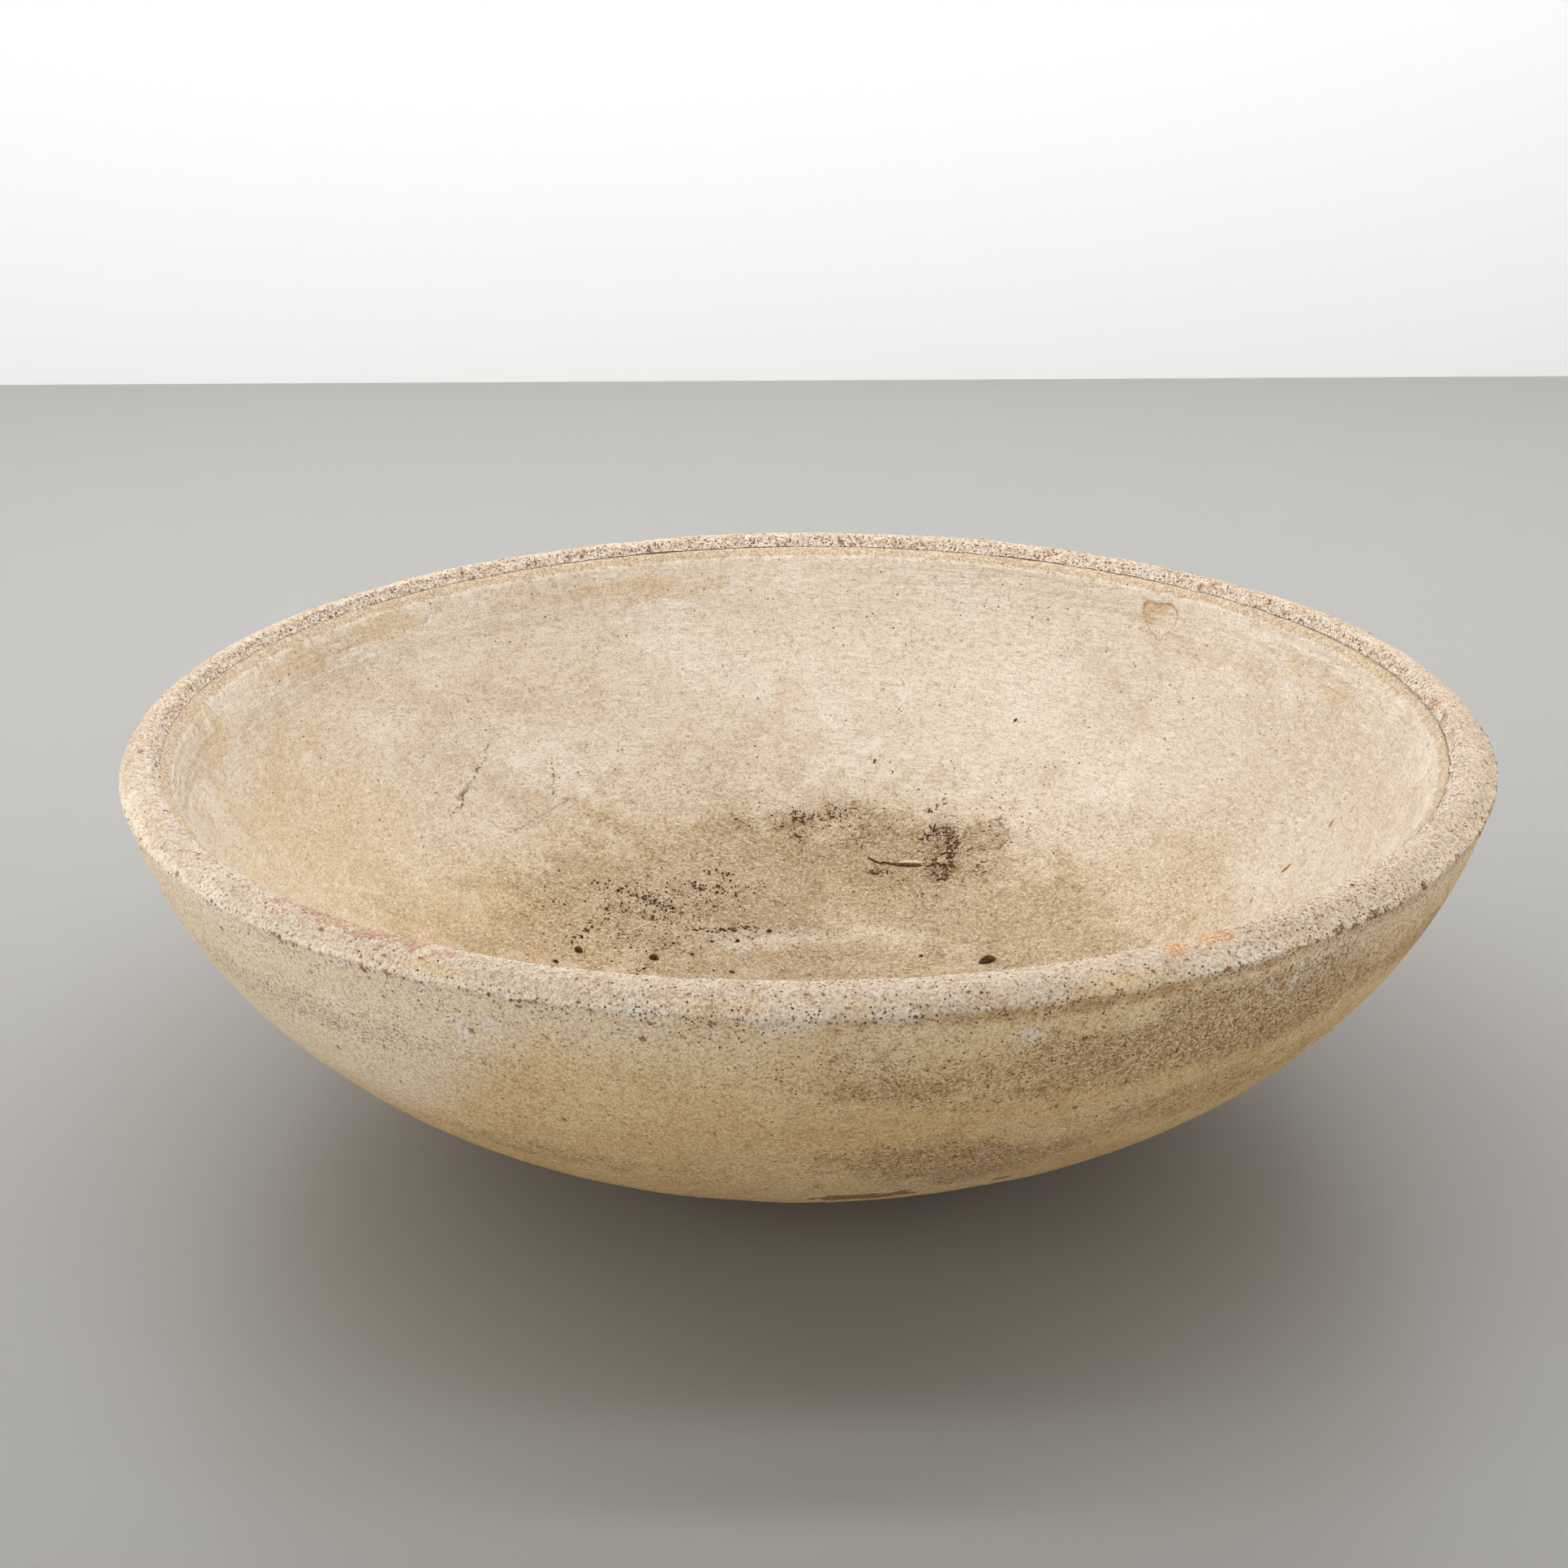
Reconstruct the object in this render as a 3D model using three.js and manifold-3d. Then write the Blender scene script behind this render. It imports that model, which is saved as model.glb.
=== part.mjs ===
// Concrete bowl planter, about 0.96 m across, built up in two coats over a cage of steel bars:
// a coarse sandy shell with a thick rounded rim, and a thin smooth trowelled lining. The bars
// lie between the coats, on the shell's side, tied with wire where the hoops cross the ribs.
// Units are millimetres, +Z is up, and the origin is the middle of the foot, on the floor.

import * as THREE from 'three';
import { mergeVertices } from 'three/addons/utils/BufferGeometryUtils.js';
import Module from 'manifold-3d';

const wasm = await Module();
wasm.setup();

// ---------------------------------------------------------------- driving sizes

const RIM_RADIUS = 480;         // middle of the bowl to the outermost point of the rim
const HEIGHT = 275;             // floor to the crest of the rim
const FOOT_RADIUS = 150;        // flat face that the bowl rests on
const FOOT_CHAMFER = 6;         // worn edge round the foot

const WALL_LEAN = 14;           // degrees, the outside wall from upright, just under the rim
const BASE_RISE = 5.5;          // degrees, the outside wall from level, just outside the foot
const WALL_BULGE = 0.363;       // how full the outside curve is, as a share of its chord

const BEAD_RADIUS = 20;         // round of the rim in cross-section
const SEAM_DROP = 12.7;         // crest of the rim to the mould line round the outside
const SEAM_WIDTH = 3;           // the mould line is a shallow worn groove
const SEAM_DEPTH = 1.2;

const SHELL_THICKNESS = 26;     // coarse outer coat, measured square to the wall
const LINING_THICKNESS = 10;    // smooth inner coat
const LIP_DROP = 9;             // crest of the rim down to the lining's top edge
const LIP_TUCK = 4;             // how far the rim hangs over that edge
const CAVITY_OFFSET = -4.3;     // the inside is struck this far off centre, along X, at the rim

const DRAIN_RADIUS = 15;        // hole through the middle of the foot
const DRAIN_FALL = 7;           // the inside floor falls this much towards the hole

const BAR_DIAMETER = 6;         // reinforcing bar
const TIE_WIRE = 1.2;           // soft wire round each crossing
const TIE_SLACK = 0.7;          // what the wire stands off the bars
const RIB_COUNT = 8;            // bars that run from the foot up to the rim
const BASE_HOOP_RADIUS = 70;    // smallest hoop, round the drain hole
const MIDDLE_HOOP_HEIGHT = 120; // where the larger hoops lie on the wall
const RIM_HOOP_HEIGHT = 247;
const RIB_OVERRUN = 9;          // a rib runs this far past its first and last hoop

const GAP = 0.3;                // left between pieces that touch
const BAR_GAP = 0.5;            // left between a hoop and the ribs it crosses
const TRIM = 0.01;              // least size that a cutter passes a face by

const SEGMENTS = 48;            // facets round the bowl, a multiple of RIB_COUNT
const WALL_STEPS = 12;          // facets down the wall
const FLOOR_STEPS = 3;          // facets across the inside floor
const BEAD_STEPS = 6;           // facets over the rim
const RIB_STEPS = 16;           // facets along a rib
const BAR_SIDES = 6;

// ---------------------------------------------------------------- derived sizes

const LIP_HEIGHT = HEIGHT - LIP_DROP;
const SEAM_HEIGHT = HEIGHT - SEAM_DROP;
const BAR_RADIUS = BAR_DIAMETER / 2;
const TIE_ROOM = GAP + TIE_WIRE + TIE_SLACK;         // a hoop lies this deep under the lining
const HOOP_DEPTH = TIE_ROOM + BAR_RADIUS;            // its centre, from the shell's inner face
const RIB_DEPTH = HOOP_DEPTH + BAR_DIAMETER + BAR_GAP; // the ribs pass outside the hoops

const radians = THREE.MathUtils.degToRad;

// ---------------------------------------------------------------- colours and finishes

const FINISH = {
  coarse: { color: 0xb9a37f, roughness: 0.95, metalness: 0 },
  trowelled: { color: 0xe0d2bb, roughness: 0.78, metalness: 0 },
  bar: { color: 0x6b4a35, roughness: 0.75, metalness: 0.6 },
  wire: { color: 0x55504a, roughness: 0.6, metalness: 0.8 },
};

// ---------------------------------------------------------------- section of the bowl
// Points are (distance from the axis, height). The outside curve runs from the mould line
// down to the foot; every other surface is that curve set in by a thickness.

const outsideCurve = (() => {
  const top = new THREE.Vector2(RIM_RADIUS, SEAM_HEIGHT);
  const foot = new THREE.Vector2(FOOT_RADIUS + FOOT_CHAMFER, FOOT_CHAMFER);
  const handle = WALL_BULGE * top.distanceTo(foot);
  const lean = radians(WALL_LEAN);
  const rise = radians(BASE_RISE);
  return new THREE.CubicBezierCurve(
    top,
    new THREE.Vector2(top.x - handle * Math.sin(lean), top.y - handle * Math.cos(lean)),
    new THREE.Vector2(foot.x + handle * Math.cos(rise), foot.y + handle * Math.sin(rise)),
    foot,
  );
})();

// The unit vector square to a curve that runs down the wall, pointing into the bowl.
function inward(curve, t) {
  const along = curve.getTangent(t);
  return new THREE.Vector2(along.y, -along.x);
}

const setIn = (t, thickness) => (
  outsideCurve.getPoint(t).addScaledVector(inward(outsideCurve, t), thickness)
);

// The first parameter from 0 to `end` at which `reached` holds.
function parameterWhere(reached, end) {
  let low = 0;
  let high = end;
  for (let halving = 0; halving < 40; halving += 1) {
    const middle = (low + high) / 2;
    if (reached(middle)) high = middle;
    else low = middle;
  }
  return high;
}

// An inside face, as a function of s: from 0 to 1 it is the set-in wall from `topHeight`
// down, and from 1 to 2 the floor that falls gently to the drain hole.
function insideFace(thickness, topHeight) {
  const first = parameterWhere((t) => setIn(t, thickness).y <= topHeight, 1);
  const edge = setIn(1, thickness);
  const hole = new THREE.Vector2(DRAIN_RADIUS, edge.y - DRAIN_FALL);
  const run = Math.min(DRAIN_FALL / 2 / Math.tan(radians(BASE_RISE)), (edge.x - hole.x) / 2);
  const turn = new THREE.Vector2(edge.x - run, (edge.y + hole.y) / 2);
  const floor = new THREE.QuadraticBezierCurve(edge, turn, hole);
  return (s) => {
    const onFloor = s > 1;
    const curve = onFloor ? floor : outsideCurve;
    const t = onFloor ? s - 1 : first + (1 - first) * s;
    const point = onFloor ? floor.getPoint(t) : setIn(t, thickness);
    return { s, point, down: curve.getTangent(t), outward: inward(curve, t).negate() };
  };
}

const FACE_END = 2;

// The stations of an inside face, from its top edge to the drain hole. Where the curve
// starts below the top edge, the face goes on up in a straight line.
function stationsOf(face, topHeight) {
  const stations = [];
  for (let step = 0; step <= WALL_STEPS; step += 1) stations.push(face(step / WALL_STEPS));
  for (let step = 1; step <= FLOOR_STEPS; step += 1) stations.push(face(1 + step / FLOOR_STEPS));
  const { point, down } = stations[0];
  const missing = (point.y - topHeight) / down.y;
  if (missing > TRIM) {
    const top = point.clone().addScaledVector(down, -missing);
    stations[0] = { ...stations[0], point: top };
  }
  return stations;
}

const bed = insideFace(SHELL_THICKNESS, LIP_HEIGHT + GAP);
const lined = insideFace(SHELL_THICKNESS + LINING_THICKNESS, LIP_HEIGHT);

// ---------------------------------------------------------------- where the bars lie

const atHeight = (height) => bed(parameterWhere((s) => bed(s).point.y <= height, FACE_END));
const atRadius = (radius) => bed(parameterWhere((s) => bed(s).point.x <= radius, FACE_END));

const HOOPS = [
  { name: 'rim_hoop', place: atHeight(RIM_HOOP_HEIGHT) },
  { name: 'middle_hoop', place: atHeight(MIDDLE_HOOP_HEIGHT) },
  { name: 'base_hoop', place: atRadius(BASE_HOOP_RADIUS) },
];

// A point in the shell, at a depth below a place on the bed.
const inShell = (place, depth) => place.point.clone().addScaledVector(place.outward, depth);

// The bed as it is made: both edges of each hoop's groove are put in, and stations so near
// a groove that they would leave a sliver are left out.
const bedLine = (() => {
  const half = BAR_RADIUS + GAP;
  const clearOfHoops = ({ point }) => (
    HOOPS.every(({ place }) => place.point.distanceTo(point) > half + BAR_DIAMETER)
  );
  const stations = stationsOf(bed, LIP_HEIGHT + GAP).filter(clearOfHoops);
  for (const { place } of HOOPS) {
    for (const side of [-1, 1]) {
      const point = place.point.clone().addScaledVector(place.down, side * half);
      stations.push({ ...place, s: place.s + side * TRIM * TRIM, point, side });
    }
  }
  return stations.sort((one, other) => one.s - other.s);
})();

// ---------------------------------------------------------------- solids and meshes

// The inside is struck a little off centre: everything in it moves sideways, most at the rim.
function cavityShift(height) {
  const share = THREE.MathUtils.clamp(height / LIP_HEIGHT, 0, 1);
  return CAVITY_OFFSET * share * share;
}

function shiftWithCavity(geometry) {
  const position = geometry.attributes.position;
  for (let i = 0; i < position.count; i += 1) {
    position.setX(i, position.getX(i) + cavityShift(position.getZ(i)));
  }
  return geometry;
}

// A closed profile turned round the Z axis. `share` says how much each profile point takes
// part in the cavity's sideways shift, from 0 on the outside to 1 on the inside.
function turned(points, share) {
  const profile = points.concat(points[0]);
  const geometry = new THREE.LatheGeometry(profile, SEGMENTS);
  geometry.rotateX(Math.PI / 2);
  const position = geometry.attributes.position;
  for (let i = 0; i < position.count; i += 1) {
    const weight = share[(i % profile.length) % points.length];
    position.setX(i, position.getX(i) + weight * cavityShift(position.getZ(i)));
  }
  return geometry;
}

function toSolid(geometry) {
  const bare = geometry.clone();
  bare.deleteAttribute('normal');
  bare.deleteAttribute('uv');
  const merged = mergeVertices(bare, 1e-4);
  const solid = new wasm.Manifold(new wasm.Mesh({
    numProp: 3,
    vertProperties: new Float32Array(merged.attributes.position.array),
    triVerts: new Uint32Array(merged.index.array),
  }));
  return solid;
}

function toGeometry(solid) {
  const mesh = solid.getMesh();
  const geometry = new THREE.BufferGeometry();
  geometry.setAttribute('position', new THREE.BufferAttribute(mesh.vertProperties, 3));
  geometry.setIndex(new THREE.BufferAttribute(mesh.triVerts, 1));
  geometry.computeVertexNormals();
  return geometry;
}

function named(name, geometry, finish) {
  const mesh = new THREE.Mesh(geometry, new THREE.MeshStandardMaterial(FINISH[finish]));
  mesh.name = name;
  return mesh;
}

// ---------------------------------------------------------------- bars

// A round bar along `path`, its section given as a radius.
function barAlong(path, radius, steps) {
  const section = new THREE.Shape();
  for (let side = 0; side < BAR_SIDES; side += 1) {
    const angle = ((side + 0.5) / BAR_SIDES) * 2 * Math.PI;
    const corner = [radius * Math.cos(angle), radius * Math.sin(angle)];
    if (side === 0) section.moveTo(...corner);
    else section.lineTo(...corner);
  }
  section.closePath();
  return new THREE.ExtrudeGeometry(section, { steps, extrudePath: path, bevelEnabled: false });
}

// A rib follows the bed from above the rim hoop to inside the base hoop, deeper in the
// shell than the hoops. `spare` lengthens it at both ends.
function ribPath(spare) {
  const start = atHeight(RIM_HOOP_HEIGHT + RIB_OVERRUN + spare).s;
  const end = atRadius(BASE_HOOP_RADIUS - RIB_OVERRUN - spare).s;
  const points = [];
  for (let step = 0; step <= RIB_STEPS * 2; step += 1) {
    const at = inShell(bed(start + ((end - start) * step) / (RIB_STEPS * 2)), RIB_DEPTH);
    points.push(new THREE.Vector3(at.x, 0, at.y));
  }
  return new THREE.CatmullRomCurve3(points);
}

function rib(turn, radius, spare) {
  const geometry = barAlong(ribPath(spare), radius, RIB_STEPS);
  geometry.rotateZ(turn);
  return shiftWithCavity(geometry);
}

function hoop(place) {
  const centre = inShell(place, HOOP_DEPTH);
  const geometry = new THREE.TorusGeometry(centre.x, BAR_RADIUS, BAR_SIDES, SEGMENTS);
  geometry.translate(0, 0, centre.y);
  return shiftWithCavity(geometry);
}

const ribTurn = (index) => (index / RIB_COUNT) * 2 * Math.PI;

// ---------------------------------------------------------------- tie wires
// Each tie is a square-cornered loop of wire round one crossing, on the slant between the
// hoop and the rib, so that it holds both.

const SLANT = Math.SQRT2;
const TIE_HALF_WIDTH = BAR_RADIUS * SLANT + TIE_WIRE / 2 + TIE_SLACK + TIE_WIRE;
const TIE_TOP_DEPTH = GAP;
const TIE_BOTTOM_DEPTH = RIB_DEPTH + BAR_RADIUS + TIE_SLACK + TIE_WIRE;

// Sets a flat shape, drawn as (across the slant, depth), at a crossing.
function setAtCrossing(geometry, place, turn) {
  const down = new THREE.Vector3(place.down.x, 0, place.down.y);
  const outward = new THREE.Vector3(place.outward.x, 0, place.outward.y);
  const round = new THREE.Vector3(0, 1, 0);
  const across = down.clone().add(round).divideScalar(SLANT);
  const square = across.clone().cross(outward);
  const basis = new THREE.Matrix4().makeBasis(across, outward, square);
  basis.setPosition(place.point.x, 0, place.point.y);
  geometry.applyMatrix4(basis);
  geometry.rotateZ(turn);
  return shiftWithCavity(geometry);
}

function rectangle(Kind, halfWidth, top, bottom) {
  const outline = new Kind();
  outline.moveTo(-halfWidth, top);
  outline.lineTo(halfWidth, top);
  outline.lineTo(halfWidth, bottom);
  outline.lineTo(-halfWidth, bottom);
  outline.closePath();
  return outline;
}

function slab(shape, thickness) {
  const geometry = new THREE.ExtrudeGeometry(shape, { depth: thickness, bevelEnabled: false });
  return geometry.translate(0, 0, -thickness / 2);
}

function tie(place, turn) {
  const shape = rectangle(THREE.Shape, TIE_HALF_WIDTH, TIE_TOP_DEPTH, TIE_BOTTOM_DEPTH);
  shape.holes.push(rectangle(THREE.Path, TIE_HALF_WIDTH - TIE_WIRE,
    TIE_TOP_DEPTH + TIE_WIRE, TIE_BOTTOM_DEPTH - TIE_WIRE));
  return setAtCrossing(slab(shape, TIE_WIRE), place, turn);
}

function tiePocket(place, turn) {
  const shape = rectangle(THREE.Shape, TIE_HALF_WIDTH + GAP, -GAP, TIE_BOTTOM_DEPTH + GAP);
  return setAtCrossing(slab(shape, TIE_WIRE + 2 * GAP), place, turn);
}

// Every second crossing is tied, staggered from one hoop to the next.
const TIES = HOOPS.flatMap(({ name, place }, row) => (
  Array.from({ length: RIB_COUNT }, (_, index) => index)
    .filter((index) => (index + row) % 2 === 0)
    .map((index) => ({ name: `${name}_tie_${index + 1}`, place, turn: ribTurn(index) }))
));

// ---------------------------------------------------------------- shell

// The outside of the rim, from the mould line over the crest to where it hangs over the
// lining's top edge.
function rimOutline() {
  const drop = HEIGHT - BEAD_RADIUS;
  const startAngle = Math.asin((SEAM_HEIGHT - drop) / BEAD_RADIUS);
  const centre = RIM_RADIUS - BEAD_RADIUS * Math.cos(startAngle);
  const lip = bedLine[0].point.x - LIP_TUCK;
  const endAngle = Math.acos((lip - centre) / BEAD_RADIUS);
  const points = [];
  for (let step = 0; step <= BEAD_STEPS; step += 1) {
    const angle = startAngle + ((endAngle - startAngle) * step) / BEAD_STEPS;
    points.push(new THREE.Vector2(
      centre + BEAD_RADIUS * Math.cos(angle),
      drop + BEAD_RADIUS * Math.sin(angle),
    ));
  }
  points.push(new THREE.Vector2(lip, LIP_HEIGHT + GAP));
  return points;
}

// The shell's inner face with a square groove for each hoop.
function groovedBed() {
  const depth = HOOP_DEPTH + BAR_RADIUS + GAP;
  return bedLine.flatMap((station) => {
    if (!station.side) return [station.point];
    const bottom = inShell(station, depth);
    return station.side < 0 ? [station.point, bottom] : [bottom, station.point];
  });
}

function shellGeometry() {
  const foot = [
    new THREE.Vector2(DRAIN_RADIUS, 0),
    new THREE.Vector2(FOOT_RADIUS, 0),
  ];
  const underSeam = parameterWhere((t) => (
    outsideCurve.getPoint(t).y <= SEAM_HEIGHT - SEAM_WIDTH
  ), 1);
  const wall = [];
  for (let step = 0; step <= WALL_STEPS; step += 1) {
    wall.push(outsideCurve.getPoint(1 - ((1 - underSeam) * step) / WALL_STEPS));
  }
  const seam = [new THREE.Vector2(RIM_RADIUS - SEAM_DEPTH, SEAM_HEIGHT - SEAM_WIDTH / 2)];
  const outside = foot.concat(wall, seam);
  const rim = rimOutline();
  const inside = groovedBed();
  const share = [
    ...outside.map(() => 0),
    ...rim.map((_, index) => index / (rim.length - 1)),
    ...inside.map(() => 1),
  ];
  let solid = toSolid(turned(outside.concat(rim, inside), share));
  for (let index = 0; index < RIB_COUNT; index += 1) {
    solid = solid.subtract(toSolid(rib(ribTurn(index), BAR_RADIUS + GAP + TRIM, GAP)));
  }
  for (const { place, turn } of TIES) {
    solid = solid.subtract(toSolid(tiePocket(place, turn)));
  }
  return toGeometry(solid);
}

// ---------------------------------------------------------------- lining

// The lining backs onto the shell's inner face all over, a gap away, and its top edge is
// tucked under the rim.
function liningGeometry() {
  const back = bedLine.map(({ point }, index) => {
    const before = bedLine[Math.max(index - 1, 0)].point;
    const after = bedLine[Math.min(index + 1, bedLine.length - 1)].point;
    const down = after.clone().sub(before).normalize();
    return point.clone().add(new THREE.Vector2(down.y, -down.x).multiplyScalar(GAP));
  });
  back[0].y = LIP_HEIGHT;
  back[back.length - 1].x = DRAIN_RADIUS;
  const front = stationsOf(lined, LIP_HEIGHT).map(({ point }) => point);
  const profile = back.slice().reverse().concat(front);
  return turned(profile, profile.map(() => 1));
}

// ---------------------------------------------------------------- the bowl

const bowl = new THREE.Group();
bowl.name = 'bowl_planter';

bowl.add(named('bowl_shell', shellGeometry(), 'coarse'));
bowl.add(named('inner_lining', liningGeometry(), 'trowelled'));

for (const { name, place } of HOOPS) {
  bowl.add(named(name, hoop(place), 'bar'));
}
for (let index = 0; index < RIB_COUNT; index += 1) {
  bowl.add(named(`rib_bar_${index + 1}`, rib(ribTurn(index), BAR_RADIUS, 0), 'bar'));
}
for (const { name, place, turn } of TIES) {
  bowl.add(named(name, tie(place, turn), 'wire'));
}

export default bowl;
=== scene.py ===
"""Visual model of the concrete bowl planter: coarse sandy shell, smooth trowelled lining.

The shell and the lining are dense meshes that follow the CAD profile and carry the casting's
wear as real relief. Where each stain, patch and scar lies is kept in the mesh as masks, and the
node materials turn those masks into colour, grain and roughness. Some masks also carry painted
light and shade: a painted highlight on the rim's crest, painted light on its inner flank, and
painted shade on its right side and on the lining's top edge. The bowl is worked out in
millimetres. The stage, the lights and the camera are in metres.
"""

import math
from concurrent.futures import ThreadPoolExecutor

import bpy
import numpy as np
from mathutils import Matrix, Vector


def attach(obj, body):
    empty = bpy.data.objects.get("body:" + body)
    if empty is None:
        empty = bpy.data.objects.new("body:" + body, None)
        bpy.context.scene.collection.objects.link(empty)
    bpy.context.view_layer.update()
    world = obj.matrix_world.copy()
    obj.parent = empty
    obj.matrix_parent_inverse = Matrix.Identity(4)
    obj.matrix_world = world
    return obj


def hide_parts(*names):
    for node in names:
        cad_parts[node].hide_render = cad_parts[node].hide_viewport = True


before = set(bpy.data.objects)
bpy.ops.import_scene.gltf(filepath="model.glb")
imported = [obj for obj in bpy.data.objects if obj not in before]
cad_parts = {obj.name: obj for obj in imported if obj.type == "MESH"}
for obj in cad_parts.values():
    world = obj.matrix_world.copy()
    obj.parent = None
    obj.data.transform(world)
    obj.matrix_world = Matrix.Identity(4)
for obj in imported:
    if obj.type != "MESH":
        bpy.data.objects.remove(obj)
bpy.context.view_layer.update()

MM = 0.001

# ---- sizes shared with the CAD

RIM_RADIUS = 480.0
HEIGHT = 275.0
FOOT_RADIUS = 150.0
FOOT_CHAMFER = 6.0
WALL_LEAN = math.radians(14)
BASE_RISE = math.radians(5.5)
WALL_BULGE = 0.363
BEAD_RADIUS = 20.0
SEAM_HEIGHT = 262.3
SHELL_THICKNESS = 26.0
LINING_THICKNESS = 10.0
LIP_HEIGHT = 266.0
LIP_TUCK = 4.0
CAVITY_OFFSET = -4.3
DRAIN_RADIUS = 15.0
DRAIN_FALL = 7.0
GAP = 0.3

# keeps a length that is divided by from being nothing
TINY = 1e-9

# only the visual model's
RING_RADIUS = 440.0
FLANK_SLOPE = 6.0
SWEEP_RING = 0.45
SWEEP_ALONG = 9.0
FOOT_INNER = 60.0
HOLE_MARGIN = 30.0
BORE_TOP = 12.0
SEAM_ZONE = 14.0
# rows of the shell's hidden part before its bed: the foot's margin and the two ends of the drain hole
ROWS_TO_BED = 3
# the lining's rounded top edge, as (in from the face's corner, down from the top)
LIP_ROUNDING = ((6.0, 0.0), (3.2, 1.0), (1.2, 3.0))
LIP_OVERLAP = 3.0
LIP_REACH = 6.0

# ---- mesh densities

SHELL_COLUMNS = 1500
LINING_COLUMNS = 1320
BEAD_PITCH = 1.2
SEAM_PITCH = 1.1
WALL_PITCH = 2.0
LINING_PITCH = 2.1
FOOT_PITCH = 9
HIDDEN_PITCH = 14

# points on the curves before they are spaced evenly
BEAD_STEPS = 60
WALL_STEPS = 500
FACE_STEPS = 400
FLOOR_STEPS = 40

# how far apart the holes in the casting lie
PIT_PITCH = 6.4
CAVITY_PITCH = 15
LINING_PIT_PITCH = 13

# how deep or high each mark is
PIT_DEPTH = 0.7
CAVITY_DEPTH = 1.1
GROOVE_DEPTH = 1.4
GROOVE_HALF_WIDTH = 1.5
LEDGE_DEPTH = 0.8
PROUD_HEIGHT = 0.7
CHIP_DEPTH = 1.2
RIDGE_HEIGHT = 0.24
LINING_PIT_DEPTH = 0.6


# ---- noise

def lattice(ix, iy, iz, seed):
    """A fixed random whole number for each point of a grid."""
    h = (ix * np.uint32(73856093)) ^ (iy * np.uint32(19349663)) ^ (iz * np.uint32(83492791))
    h ^= np.uint32(seed * 265443576 % 2**32)
    h = (h ^ (h >> np.uint32(13))) * np.uint32(1274126177)
    h = (h ^ (h >> np.uint32(16))) * np.uint32(2246822519)
    return h ^ (h >> np.uint32(15))


SLOPES = np.array([(1, 1, 0), (-1, 1, 0), (1, -1, 0), (-1, -1, 0), (1, 0, 1), (-1, 0, 1), (1, 0, -1),
                   (-1, 0, -1), (0, 1, 1), (0, -1, 1), (0, 1, -1), (0, -1, -1)], np.float32)


def grid_place(points, size, back):
    """The grid corner under each point, as whole numbers that wrap, and what is left over."""
    p = points / size
    base = np.floor(p - back)
    return base.astype(np.int64).astype(np.uint32).T, (p - base).astype(np.float32)


WORKERS = ThreadPoolExecutor(4)
BLOCK = 30000
NOISE_GAIN = 1.1


def in_blocks(work, points):
    """Do the work on blocks of the points, several at once, in their order."""
    return list(WORKERS.map(work, [points[k:k + BLOCK] for k in range(0, len(points), BLOCK)]))


def corners(grid, seed):
    """The eight grid corners round each point: the steps to them and their random numbers."""
    for steps in np.ndindex(2, 2, 2):
        yield steps, lattice(*(part + np.uint32(on) for part, on in zip(grid, steps)), seed)


def gradient_noise(points, size, seed):
    """Smooth noise from about -1 to 1, with features about as large as size."""

    def work(part):
        grid, f = grid_place(part, size, 0.0)
        ease = f * f * f * (f * (f * 6 - 15) + 10)
        total = np.zeros(len(f), np.float32)
        for (dx, dy, dz), corner in corners(grid, seed):
            g = SLOPES[corner % np.uint32(len(SLOPES))]
            lean = g[:, 0] * (f[:, 0] - dx) + g[:, 1] * (f[:, 1] - dy) + g[:, 2] * (f[:, 2] - dz)
            wx, wy, wz = (ease[:, k] if on else 1 - ease[:, k] for k, on in enumerate((dx, dy, dz)))
            total += wx * wy * wz * lean
        return total * NOISE_GAIN

    return np.concatenate(in_blocks(work, points))


def fbm(points, size, octaves, seed):
    """Several layers of noise, each half as large and half as strong as the last."""
    total, weight, scale = 0, 1.0, 0.0
    for k in range(octaves):
        total = total + weight * gradient_noise(points, size / 2**k, seed + 17 * k)
        scale += weight * weight
        weight *= 0.5
    return total / math.sqrt(scale)


def random_share(number, first_bit, top):
    """Some bits of a random whole number, as a share from 0 to 1."""
    return (number >> np.uint32(first_bit) & np.uint32(top)) / np.float32(top)


def cells(points, size, seed):
    """Distance to the nearest of some dots scattered about size apart, and that dot's random number."""

    def work(part):
        grid, f = grid_place(part, size, 0.5)
        best = np.full(len(f), 9.0, np.float32)
        value = np.zeros(len(f), np.float32)
        for steps, h in corners(grid, seed):
            d = sum((on + random_share(h, 10 * k, 1023) - f[:, k]) ** 2 for k, on in enumerate(steps))
            near = d < best
            best[near] = d[near]
            value[near] = random_share(h[near], 7, 4095)
        return np.sqrt(best) * size, value

    gaps, values = zip(*in_blocks(work, points))
    return np.concatenate(gaps), np.concatenate(values)


def step(low, high, x):
    """0 under low, 1 over high, and smooth between."""
    t = np.clip((x - low) / (high - low), 0, 1)
    return t * t * (3 - 2 * t)


# ---- profiles

def outside_point(t):
    """The outside wall from the mould line (t 0) to the foot (t 1), as (radius, height)."""
    ax, az, bx, bz = RIM_RADIUS, SEAM_HEIGHT, FOOT_RADIUS + FOOT_CHAMFER, FOOT_CHAMFER
    handle = WALL_BULGE * math.hypot(ax - bx, az - bz)
    cx, cz = ax - handle * math.sin(WALL_LEAN), az - handle * math.cos(WALL_LEAN)
    dx, dz = bx + handle * math.cos(BASE_RISE), bz + handle * math.sin(BASE_RISE)
    u = 1 - t
    w = (u**3, 3 * u * u * t, 3 * u * t * t, t**3)
    return np.stack([w[0] * ax + w[1] * cx + w[2] * dx + w[3] * bx,
                     w[0] * az + w[1] * cz + w[2] * dz + w[3] * bz], -1)


def run_along(line):
    """How far along a line each of its points lies."""
    return np.concatenate([[0], np.cumsum(np.hypot(*np.diff(line, axis=0).T))])


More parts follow.
